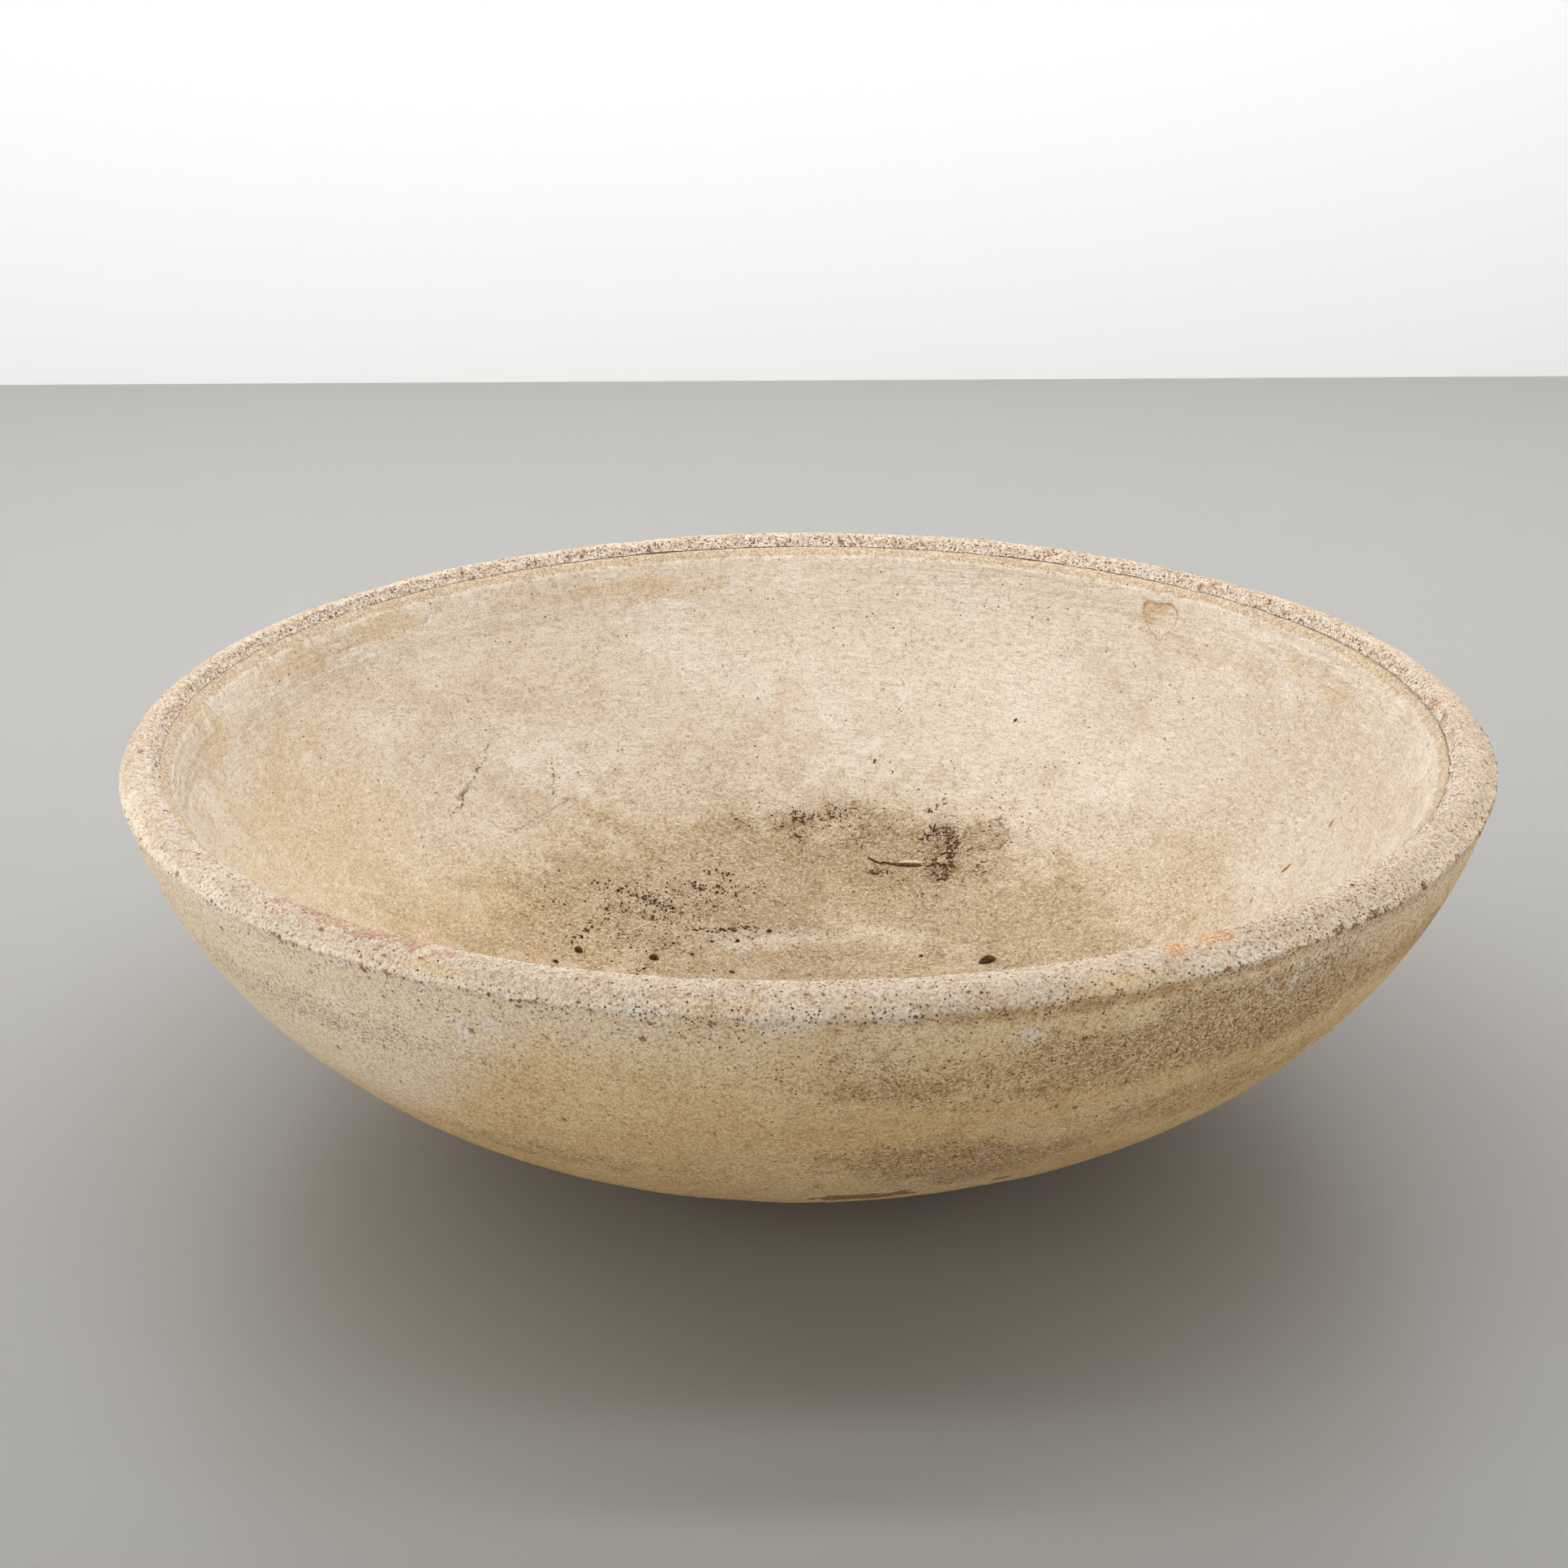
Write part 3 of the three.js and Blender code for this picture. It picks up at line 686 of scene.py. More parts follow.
# stains on the lining: strength, place, half lengths, seed, softness, raggedness
LINING_SPOTS = {
    "stain": (
        (1, (-20, 215, 54), 190, 68, 132, 0.5, 0.5), (1, (110, 180, 52), 110, 58, 133, 0.6, 0.5),
        (0.95, (180, 100, 52), 110, 66, 148, 0.6, 0.6), (0.95, (-170, 150, 56), 95, 62, 185, 0.6, 0.6),
        (0.85, (0, 70, 34), 240, 60, 186, 0.6, 0.6),
    ),
    "tail": (
        (1, (-80, 190, 52), 270, 104, 134, 0.5, 0.5), (0.75, (-140, 265, 92), 150, 58, 191, 0.7, 0.5),
        (0.65, (0, 296, 86), 150, 34, 192, 0.7, 0.5), (0.9, (215, 118, 68), 146, 96, 188, 0.5, 0.5),
        (1, (0, 20, 32), 290, 230, 189, 0.4, 0.3),
    ),
    "dark": (
        (0.8, (40, 245, 70), 100, 40, 135, 0.8, 0.7), (0.45, (112, 225, 64), 50, 40, 136, 0.7, 0.5),
        (0.8, (-70, 160, 46), 80, 45, 137, 0.6, 0.7), (0.4, (4, 286, 82), 70, 18, 147, 0.8, 0.7),
        (0.7, (-30, 130, 42), 70, 30, 138, 0.6, 0.8), (0.6, (-20, 84, 37), 100, 24, 146, 0.6, 0.6),
        (0.5, (0, 0, 30), 90, 70, 144), (0.5, (130, 110, 46), 70, 40, 145, 0.7, 0.6),
    ),
    "soot": (
        (1, (-105, 165, 49), 95, 40, 139, 0.6, 0.6), (0.8, (-40, 130, 42), 120, 30, 140, 0.6, 0.6),
        (0.8, (20, 284, 82), 70, 22, 141, 0.6, 0.6), (0.9, (108, 238, 70), 34, 34, 142, 0.5, 0.5),
        (0.6, (150, 235, 76), 30, 30, 143, 0.6, 0.6),
    ),
    "gold": (
        (0.9, (-330, 60, 150), 150, 90, 171, 0.7, 0.5), (1, (-300, -100, 130), 220, 110, 172, 0.7, 0.5),
        (1, (-250, 60, 90), 120, 100, 180, 0.7, 0.5),
    ),
    "grey": (
        (0.7, (-265, 235, 125), 70, 70, 177, 0.7, 0.6), (0.8, (-130, 276, 91), 80, 40, 178, 0.7, 0.6),
        (1.1, (345, 110, 140), 190, 90, 179, 0.7, 0.6), (1, (390, -10, 180), 150, 70, 173, 0.7, 0.6),
        (0.6, (250, 300, 170), 60, 60, 190, 0.7, 0.6),
    ),
    "ghost": (
        (1, (148, 247, 82), 17, 15.5, 175, 0.5, 0.45),
    ),
    "clump": (
        (1, (113, 253, 77), 11, 20, 176, 0.4, 0.6), (1, (106, 216, 62), 16, 12, 149, 0.5, 0.6),
    ),
}


def spot_rows(table, seed, soft):
    """Rows for spots from a table of places, half lengths and strengths."""
    return [(strength, (x, y, height), around, down, seed + k, soft, 0.7)
            for k, (x, y, height, around, down, strength) in enumerate(table)]


def lining_masks(lathe):
    """Where each stain lies on the lining."""
    p = lathe.points
    masks = {key: spots(p, rows) for key, rows in LINING_SPOTS.items() if key != "dark"}
    masks["dark"] = np.clip(spots(p, LINING_SPOTS["dark"], np.add), 0, 1)
    masks["tan"] = spots(p, spot_rows(TAN_SPOTS, 150, 0.45))
    masks["dust"] = spots(p, spot_rows(DUST_SPOTS, 200, 0.6))
    sway = 14 * lathe.round_noise(160, 3, 131) + 9 * fbm(p, 60, 2, 130)
    masks["band"] = step(212, 252, lathe.height + sway)
    masks["blotch"] = step(-0.6, 0.8, fbm(p, 95, 4, 174))
    return masks


# scratches and the hairline crack, each a path in millimetres with its half width and strength
SCRATCHES = (
    (((-283, 202, 119), (-275, 214, 122), (-276, 224, 127), (-267, 238, 132), (-268, 250, 137),
      (-260, 266, 144)), 1.7, 0.95),
    (((-279, 218, 126), (-270, 238, 133)), 3.0, 0.5),
    (((-262, 272, 147), (-256, 286, 156)), 1.4, 0.8),
    (((-210, 293, 132), (-208, 280, 121), (-207, 264, 112)), 1.2, 0.95),
    (((-240, 210, 98), (-218, 236, 102), (-195, 265, 107)), 1.6, 0.5),
    (((-61, 417, 210), (-70, 402, 187), (-75, 391, 175), (-78, 384, 167)), 0.8, 0.6),
    (((-304, 88, 103), (-292, 104, 101), (-284, 108, 98)), 1.0, 0.6),
    (((-284, 108, 98), (-278, 122, 98)), 2.2, 0.6),
)


class Ground:
    """The finished face of the lining, for laying small things on it."""

    def __init__(self, points, line):
        self.grid = points.reshape(len(line), -1, 3)
        self.radius = line[::-1, 0]

    def at(self, x, y):
        """The point of the face over x and y."""
        rows, columns = self.grid.shape[:2]
        row = rows - 1 - np.interp(math.hypot(x, y), self.radius, np.arange(rows))
        column = math.atan2(y, x) / (2 * math.pi) * columns % columns
        i, j = min(int(row), rows - 2), int(column)
        s, t = row - i, column - j
        upper = (1 - t) * self.grid[i, j % columns] + t * self.grid[i, (j + 1) % columns]
        lower = (1 - t) * self.grid[i + 1, j % columns] + t * self.grid[i + 1, (j + 1) % columns]
        return (1 - s) * upper + s * lower

    def facing(self, x, y):
        """Square to the face, upwards."""
        here = self.at(x, y)
        square = np.cross(self.at(x + 4, y) - here, self.at(x, y + 4) - here)
        return square / np.linalg.norm(square)


# ---- node materials

class Nodes:
    """A material with one Principled shader, and short ways to add nodes to it.

    What goes into an input is another node's socket, a number, a colour or vector, or the name of a mask.
    """

    def __init__(self, name, rough, shine):
        self.material = bpy.data.materials.new(name)
        self.material.use_nodes = True
        self.tree = self.material.node_tree
        self.shader = self.tree.nodes["Principled BSDF"]
        self.fill(self.shader, {"Roughness": rough, "Specular IOR Level": shine})
        self.place = self.new("TexCoord").outputs["Object"]
        self.colour = None

    def fill(self, node, inputs):
        for key, value in inputs.items():
            socket = node.inputs[key]
            value = self.mask(value) if isinstance(value, str) else value
            if isinstance(value, bpy.types.NodeSocket):
                self.tree.links.new(value, socket)
            else:
                pad = socket.type == "RGBA" and len(value) == 3
                socket.default_value = (*value, 1.0) if pad else value

    def new(self, kind, inputs=None, **settings):
        node = self.tree.nodes.new("ShaderNode" + kind)
        for key, value in settings.items():
            setattr(node, key, value)
        self.fill(node, inputs or {})
        return node

    def mask(self, name):
        return self.new("Attribute", attribute_name=name).outputs["Fac"]

    def vector(self, name):
        return self.new("Attribute", attribute_name=name).outputs["Vector"]

    def noise(self, scale, detail=2.0, rough=0.5, at=None, warp=0.0):
        inputs = {"Scale": scale, "Detail": detail, "Roughness": rough, "Distortion": warp}
        return self.new("TexNoise", {"Vector": at or self.place} | inputs).outputs["Fac"]

    def cells(self, scale):
        return self.new("TexVoronoi", {"Vector": self.place, "Scale": scale}).outputs

    def vectors(self, how, *values):
        return self.new("VectorMath", dict(enumerate(values)), operation=how).outputs

    def stretch(self, vector, by):
        """The vector with each part multiplied."""
        return self.vectors("MULTIPLY", vector, by)[0]

    def strayed(self, scale, amount):
        """The place on the object, moved about by noise up to about amount metres."""
        noise = self.new("TexNoise", {"Vector": self.place, "Scale": scale}).outputs["Color"]
        move = self.vectors("MULTIPLY_ADD", noise, (2 * amount,) * 3, (-amount,) * 3)[0]
        return self.vectors("ADD", self.place, move)[0]

    def from_line(self, at, start, end):
        """Distance in metres from a straight line between two points given in millimetres."""
        start, end = np.array(start, float) * MM, np.array(end, float) * MM
        along = end - start
        off = self.vectors("SUBTRACT", at, tuple(start))[0]
        share = self.vectors("DOT_PRODUCT", off, tuple(along / (along @ along)))["Value"]
        share = self.math("ADD", share, 0.0, clamp=True)
        near = self.new("VectorMath", {0: tuple(along), "Scale": share}, operation="SCALE").outputs[0]
        return self.vectors("DISTANCE", off, near)["Value"]

    def math(self, how, a, b, c=0.0, clamp=False):
        return self.new("Math", {0: a, 1: b, 2: c}, operation=how, use_clamp=clamp).outputs[0]

    def times(self, a, b, plus=0.0):
        return self.math("MULTIPLY_ADD", a, b, plus)

    def swayed(self, mask, noise, sway):
        """A mask moved up and down by noise."""
        return self.times(self.math("SUBTRACT", noise, 0.5), sway, mask)

    def ragged(self, mask, noise, soft, sway):
        """A mask with its soft border broken up by noise: the less soft, the crisper the border."""
        return self.range(self.swayed(mask, noise, sway), 0.5 - soft, 0.5 + soft)

    def range(self, value, low, high, start=0.0, end=1.0):
        inputs = {"Value": value, "From Min": low, "From Max": high, "To Min": start, "To Max": end}
        return self.new("MapRange", inputs, interpolation_type="SMOOTHSTEP").outputs[0]

    def mix(self, share, a, b):
        return self.new("Mix", {0: share, 6: a, 7: b}, data_type="RGBA").outputs[2]

    def paint(self, share, strength, colour):
        """Lay a colour, of the screen or a socket, over the one so far by a share times a strength."""
        colour = srgb(*colour) if isinstance(colour, tuple) else colour
        self.colour = self.mix(self.math("MULTIPLY", share, strength, clamp=True), self.colour, colour)

    def channel(self, colour, which):
        return self.new("SeparateColor", {0: colour}).outputs[which]

    def bump(self, height, distance, strength, below=None):
        inputs = {"Height": height, "Distance": distance, "Strength": strength}
        return self.new("Bump", inputs | ({} if below is None else {"Normal": below})).outputs[0]

    def finish(self, relief, rough):
        self.fill(self.shader, {"Base Color": self.colour, "Normal": relief, "Roughness": rough})
        return self.material


def srgb(r, g, b):
    """A screen colour, 0 to 255, as the linear colour that a shader takes."""
    shares = (r / 255, g / 255, b / 255)
    return tuple(c / 12.92 if c < 0.04045 else ((c + 0.055) / 1.055) ** 2.4 for c in shares)


def concrete_material():
    """Coarse sandy concrete: grains of several colours, dark pits, and weathering by the masks, with
    painted light and shade on the rim.
    """
    m = Nodes("coarse_sandy_concrete", 0.95, 0.06)
    coarse = m.mask("coarse")
    grains = m.cells(480)
    fine = m.cells(880)
    grain_tone = m.channel(grains["Color"], 0)
    grain_kind = m.channel(grains["Color"], 1)
    fine_tone = m.channel(fine["Color"], 0)
    cloud = m.noise(14, 5, 0.65)
    mottle = m.noise(60, 5, 0.7)
    blots = m.noise(150, 5, 0.75)
    sand = m.noise(420, 3, 0.7)

    # the plain concrete, and another shade of it lower down, with painted light and shade on the rim
    upper = m.mix(m.range(cloud, 0.38, 0.64), srgb(243, 212, 162), srgb(251, 227, 180))
    lower = m.mix(m.range(m.noise(9, 5, 0.65), 0.38, 0.66), srgb(236, 202, 148), srgb(246, 216, 164))
    m.colour = m.mix("shade", upper, lower)
    m.paint(m.times("ochre", m.range(mottle, 0.3, 0.6, 0.6, 1.0)), 0.75, (228, 188, 124))
    # the rim's warm tan, which is painted shade where it lies on the right side
    m.paint("rim_tan_and_shade", 0.6, (224, 196, 170))
    # the rim's pale places, in a colour set by the tan: paler at random, and a painted highlight along
    # the crest
    worn = m.mix("rim_tan_and_shade", srgb(226, 214, 200), srgb(212, 203, 189))
    m.paint(m.times("pale", "rim"), 0.8, worn)
    # painted light: the rim's inner flank lies in shade and is painted paler
    m.paint("flank", 0.8, (244, 239, 230))
    m.paint(m.range(mottle, 0.5, 0.62), 0.26, (188, 150, 102))
    m.paint(m.times(coarse, m.range(blots, 0.44, 0.56)), 0.34, (196, 152, 98))

    # dirt, lime, wash and bleeds
    m.paint(m.ragged("soil", mottle, 0.36, 1.6), 0.56, (168, 114, 52))
    m.paint(m.ragged("grime", mottle, 0.42, 1.1), 0.5, (142, 100, 50))
    m.paint(m.ragged("lime", blots, 0.22, 1.8), 0.8, (246, 236, 218))
    m.paint("bleach", 0.64, (254, 242, 220))
    m.paint("rust", 0.6, (230, 152, 66))
    m.paint(m.ragged("red", mottle, 0.16, 1.2), 0.55, (188, 130, 104))
    m.paint(m.ragged("mud", mottle, 0.12, 1.4), 0.9, (140, 98, 46))

    # grains of sand, pale, warm and brown
    light_share = m.times("shade", -0.22, 0.40)
    m.paint(m.range(grain_tone, 0.74, 0.95), light_share, (249, 231, 200))
    warm_grain = m.times(m.math("GREATER_THAN", grain_kind, 0.82), m.range(grains["Distance"], 0.5, 0.3))
    m.paint(warm_grain, 0.55, (204, 136, 84))
    m.paint(m.range(sand, 0.50, 0.62), 0.32, (168, 118, 54))
    m.paint(m.range(sand, 0.46, 0.34), 0.24, (254, 244, 228))
    strong = m.times(coarse, 0.26, m.times("grime", 0.3, 0.28))
    m.paint(m.range(fine_tone, 0.68, 0.80), strong, (142, 84, 20))
    m.paint(m.range(fine_tone, 0.30, 0.16), strong, (252, 236, 208))

    # dark specks where the face is coarse or grimy and along the mould line, hollows, and the line itself
    share = m.times(coarse, 0.10, 0.006)
    share = m.times("grime", 0.10, share)
    share = m.times("seam", 0.10, share)
    share = m.times(share, m.range(blots, 0.36, 0.58, 0.25, 1.7))
    dots = m.cells(680)
    speck = m.math("LESS_THAN", m.channel(dots["Color"], 2), share)
    speck = m.times(speck, m.range(dots["Distance"], 0.62, 0.36))
    m.paint(speck, 0.95, (100, 50, 8))
    m.paint(m.ragged("pits", sand, 0.2, 1.1), 0.72, (124, 68, 16))
    m.paint(m.ragged(m.times("groove", 0.72), blots, 0.14, 3.2), 0.75, (120, 66, 18))

    rough_zone = m.times(coarse, 0.6, 0.4)
    under = m.bump(m.noise(170, 3, 0.6), 0.0018, 0.6)
    height = m.math("SUBTRACT", 1.0, m.times(grains["Distance"], 1.3))
    relief = m.bump(height, 0.0008, rough_zone, under)
    relief = m.bump(m.math("SUBTRACT", fine_tone, m.times(speck, 1.2)), 0.0005, rough_zone, relief)
    return m.finish(relief, m.range(mottle, 0.3, 0.7, 0.86, 0.98))


def lining_material():
    """Smooth trowelled mortar, cream, with brushed grain round the bowl and stains by the masks, and
    painted shade along its top edge.
    """
    m = Nodes("trowelled_cream_mortar", 0.85, 0.2)
    sweep = m.vector("sweep")
    brush = m.noise(120, 5, 0.75, sweep)
    streak = m.noise(24, 7, 0.72, sweep, 0.5)
    strokes = m.noise(60, 6, 0.74, m.stretch(sweep, (1.0, 1.0, 0.45)), 0.8)
    combed = m.noise(9, 6, 0.66, m.stretch(sweep, (1.0, 1.0, 3.4)), 0.2)
    grains = m.cells(820)
    tone = m.channel(grains["Color"], 0)
    cloud = m.noise(9, 7, 0.7)
    mottle = m.noise(46, 7, 0.74)
    ragged = m.noise(17, 9, 0.76)
    flecks = m.noise(210, 4, 0.75)

    # cream mortar with cloudy marks, the pale band under the edge and the trowel's marks
    m.colour = m.mix(m.range(cloud, 0.42, 0.60), srgb(240, 228, 209), srgb(249, 241, 227))
    m.paint(m.range(streak, 0.49, 0.60), 0.17, (218, 190, 152))
    m.paint(m.range(ragged, 0.49, 0.59), 0.16, (214, 188, 152))
    m.paint(m.range(mottle, 0.49, 0.60), 0.14, (208, 180, 144))
    m.paint("blotch", 0.10, (210, 186, 156))
    m.paint(m.ragged("band", streak, 0.16, 1.6), 0.35, (243, 233, 217))
    m.paint(m.times("comb", m.range(combed, 0.46, 0.56)), 0.6, (196, 180, 158))

    # stains and dust, and a round print with a darker edge
    m.paint(m.ragged("tan", ragged, 0.34, 1.5), 0.52, (214, 180, 128))
    m.paint(m.ragged("gold", mottle, 0.40, 1.2), 0.56, (218, 185, 132))
    m.paint(m.ragged("grey", mottle, 0.40, 1.2), 0.36, (196, 174, 144))
    m.paint(m.ragged("tail", mottle, 0.40, 1.6), 0.66, (204, 176, 134))
    m.paint(m.ragged("stain", mottle, 0.36, 2.0), 0.58, (160, 130, 84))
    m.paint(m.ragged("dark", mottle, 0.42, 1.4), 0.38, (134, 104, 62))
    m.paint(m.ragged("dust", ragged, 0.40, 1.2), 0.44, (247, 234, 216))
    ghost = m.swayed("ghost", mottle, 1.1)
    m.paint(m.range(ghost, 0.30, 0.50), 0.42, (160, 130, 90))
    print_edge = m.times(m.range(ghost, 0.26, 0.36), m.range(ghost, 0.62, 0.46))
    m.paint(print_edge, 0.6, (122, 88, 50))
    m.paint(m.ragged("clump", flecks, 0.16, 1.6), 0.5, (104, 70, 34))

    # specks of soot
    specks = m.cells(460)
    share = m.times("soot", m.range(mottle, 0.42, 0.58, 0.0, 0.40))
    share = m.times("stain", 0.05, share)
    soot = m.math("LESS_THAN", m.channel(specks["Color"], 1), m.math("ADD", share, 0.006))
    soot = m.times(soot, m.range(specks["Distance"], 0.56, 0.34))
    m.paint(soot, 0.9, (78, 48, 20))

    # the chip with its brown border, and the scratches
    torn = m.swayed("chip", flecks, 0.5)
    m.paint(m.range(torn, 0.45, 0.6), 0.5, (240, 226, 204))
    m.paint(m.times(m.range(torn, 0.4, 0.6), "chip_tan"), 0.75, (210, 172, 122))
    ring = m.times(m.range(torn, 0.22, 0.42), m.range(torn, 0.86, 0.56))
    m.paint(ring, m.range(m.noise(50, 2), 0.35, 0.6, 0.5, 0.95), (174, 128, 80))
    fray = m.strayed(260, 0.0028)
    gaps = m.range(m.noise(260, 3, 0.6), 0.36, 0.46)
    for path, half, strength in SCRATCHES:
        for start, end in zip(path, path[1:]):
            line = m.range(m.from_line(fray, start, end), half * MM, 0.4 * half * MM)
            m.paint(m.times(line, gaps), strength, (84, 56, 32))

    # brush strokes and grains, dark and pale, and flakes of dirt on the stains
    m.paint(m.range(strokes, 0.50, 0.60), 0.20, (194, 162, 120))
    m.paint(m.range(strokes, 0.46, 0.38), 0.30, (254, 246, 232))
    m.paint(m.range(brush, 0.52, 0.62), 0.36, (172, 136, 88))
    m.paint(m.range(brush, 0.46, 0.37), 0.46, (255, 250, 238))
    m.paint(m.range(flecks, 0.55, 0.64), 0.30, (160, 122, 72))
    soiled = m.math("MAXIMUM", "stain", "tail")
    strong = m.times(soiled, 0.06, 0.24)
    m.paint(m.range(tone, 0.76, 0.86), strong, (255, 247, 230))
    m.paint(m.range(tone, 0.24, 0.12), strong, (130, 88, 38))
    scale = m.noise(330, 5, 0.8)
    drift = m.range(mottle, 0.40, 0.60, 0.25, 1.0)
    flake = m.times(m.range(scale, 0.555, 0.60), m.times(drift, soiled))
    m.paint(flake, 0.85, (108, 74, 34))
    m.paint(m.times(m.range(scale, 0.45, 0.41), soiled), 0.40, (240, 220, 186))

    # small pits, and the lining's top edge tinted tan: partly its real ragged colour, partly painted
    # shade over the highlight on its rounded lip
    m.paint("pits", 0.5, (120, 96, 70))
    lip_tan_and_shade = m.range(m.swayed("lip_tan_and_shade", flecks, 1.6), 0.10, 0.45)
    m.paint(lip_tan_and_shade, 0.75, m.mix(m.range(tone, 0.3, 0.7), srgb(178, 146, 106), srgb(222, 200, 170)))

    height = m.times(brush, 0.9, m.times(flecks, 0.7))
    relief = m.bump(height, 0.0012, 0.6)
    relief = m.bump(combed, 0.0016, m.times("comb", 0.8), relief)
    relief = m.bump(grains["Distance"], 0.0007, 0.6, relief)
    return m.finish(relief, m.range(mottle, 0.3, 0.7, 0.72, 0.9))


def steel_material(name, base, rusty):
    """Plain bar with mill scale and light rust."""
    m = Nodes(name, 0.6, 0.4)
    patches = m.noise(55, 5, 0.65)
    fine = m.noise(420, 3, 0.6)
    rust = m.range(patches, 0.42, 0.62)
    m.colour = m.mix(rust, base, rusty)
    m.paint(m.range(fine, 0.5, 0.75), 0.5, (150, 84, 44))
    m.fill(m.shader, {"Metallic": 0.6})
    relief = m.bump(fine, 0.0004, 0.6)
    return m.finish(relief, m.range(patches, 0.4, 0.65, 0.45, 0.85))


def debris_material(name, dark, light):
    """Dry leaf dirt, seeds and bark."""
    m = Nodes(name, 0.9, 0.15)
    tone = m.noise(420, 4, 0.6)
    m.colour = m.mix(m.range(tone, 0.35, 0.68), dark, light)
    return m.finish(m.bump(m.noise(900, 3, 0.6), 0.0005, 0.7), m.range(tone, 0.3, 0.7, 0.8, 0.95))


# ---- dirt, seeds and a twig in the bowl

# tubes: how near their pointed ends the thickness is taken, and how high they lie by their thickness
TUBE_END = 0.02
TUBE_LIFT = 0.75
# crumbs: least length and thickness as shares, spread of the bend, then steps, sides, squash, roughness
SCATTERED = (0.35, 0.5, 0.9, 3, 5, 0.8, 0.7)
STRUNG = (0.3, 0.45, 1.1, 4, 5, 0.8, 0.8)
# bend, steps, sides, squash, roughness and bluntness
SEED_SHAPE = (0.3, 12, 12, 0.75, 0.18, 0.25)
HUSK_SHAPE = (0.8, 8, 8, 0.4, 0.3, 0.4)


class Bits:
    """Many small closed solids gathered into one mesh."""

    def __init__(self, ground, seed):
        self.ground, self.draw = ground, np.random.default_rng(seed)
        self.points, self.faces = [], []

    def tube(self, path, radii, sides, squash, rough):
        """A closed tube along a path, pointed at both ends, lower than it is wide by squash."""
        path = np.array(path, float)
        first = len(self.points)
        last = len(path) - 1
        for k, (centre, radius) in enumerate(zip(path, radii)):
            if k in (0, last):
                self.points.append(centre)
                continue
            along = path[k + 1] - path[k - 1]
            along /= np.linalg.norm(along)
            up = self.ground.facing(centre[0], centre[1])
            side = np.cross(up, along)
            side /= np.linalg.norm(side)
            up = np.cross(along, side)
            for s in range(sides):
                turn = 2 * math.pi * s / sides
                r = radius * (1 + rough * (self.draw.random() - 0.5))
                self.points.append(centre + r * (math.cos(turn) * side + squash * math.sin(turn) * up))
        starts = range(first + 1, first + 1 + (last - 1) * sides, sides)
        rings = [[first]] + [list(range(start, start + sides)) for start in starts]
        rings.append([first + 1 + (last - 1) * sides])
        for a, b in zip(rings, rings[1:]):
            for s in range(sides):
                n = (s + 1) % sides
                loop = a[s % len(a)], a[n % len(a)], b[n % len(b)], b[s % len(b)]
                self.faces.append(tuple(dict.fromkeys(loop)))

    def lay(self, x, y, heading, length, radius, bend, steps, sides, squash, rough, blunt=0.7):
        """A tube laid on the face from x and y, heading and bending by angles in radians."""
        path, radii = [], []
        for k in range(steps + 1):
            t = k / steps
            swell = math.sin(math.pi * min(max(t, TUBE_END), 1 - TUBE_END))
            radii.append(radius * max(0.05, swell) ** (1 - blunt))
            lift = radii[-1] * squash * TUBE_LIFT
            path.append(self.ground.at(x, y) + lift * self.ground.facing(x, y))
            turn = heading + bend * (t - 0.5) + 0.4 * rough * (self.draw.random() - 0.5)
            x += math.cos(turn) * length / steps
            y += math.sin(turn) * length / steps
        self.tube(path, radii, sides, squash, rough)

    def crumb(self, x, y, longest, thickest, least, thinnest, bend, *shape):
        """A crumb or sliver turned any way, of any size down to shares of the longest and thickest."""
        size = self.draw.random() ** 1.6
        heading = self.draw.random() * 2 * math.pi
        length = longest * (least + (1 - least) * size)
        radius = thickest * (thinnest + (1 - thinnest) * size)
        self.lay(x, y, heading, length, radius, self.draw.normal(0, bend), *shape)

    def scatter(self, x, y, spread_x, spread_y, count, length, radius):
        """Crumbs strewn about a place."""
        for _ in range(count):
            at_x, at_y = self.draw.normal(x, spread_x), self.draw.normal(y, spread_y)
            self.crumb(at_x, at_y, length, radius, *SCATTERED)

    def trail(self, path, count, stray, length, radius):
        """Crumbs strewn along a path."""
        path = np.array(path, float)
        for _ in range(count):
            along = self.draw.random() * (len(path) - 1)
            k = min(int(along), len(path) - 2)
            x, y = path[k] + (along - k) * (path[k + 1] - path[k]) + self.draw.normal(0, stray, 2)
            self.crumb(x, y, length, radius, *STRUNG)

    def piece(self, name, material):
        mesh = bpy.data.meshes.new(name)
        mesh.from_pydata([tuple(p * MM) for p in self.points], [], self.faces)
        mesh.polygons.foreach_set("use_smooth", np.full(len(self.faces), True))
        mesh.materials.append(material)
        obj = add_object(name, mesh)
        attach(obj, "root")


# strewn dirt: x, y, spread both ways, how many, longest and thickest, in millimetres
CRUMBS = (
    (-150, 160, 34, 18, 90, 2.4, 0.75), (-116, 176, 30, 14, 90, 2.6, 0.8),
    (-80, 198, 26, 16, 80, 2.6, 0.8), (-60, 142, 40, 12, 50, 2.6, 0.8), (4, 286, 26, 7, 50, 3.6, 0.7),
    (40, 262, 60, 24, 60, 2.6, 0.6), (112, 236, 26, 24, 60, 3.0, 0.7), (60, 150, 90, 30, 50, 2.2, 0.6),
    (-150, 110, 44, 20, 50, 2.6, 0.8), (0, 60, 120, 60, 60, 2.6, 0.7), (0, 240, 170, 80, 70, 2.2, 0.5),
    (150, 248, 12, 12, 18, 3.4, 0.6),
)
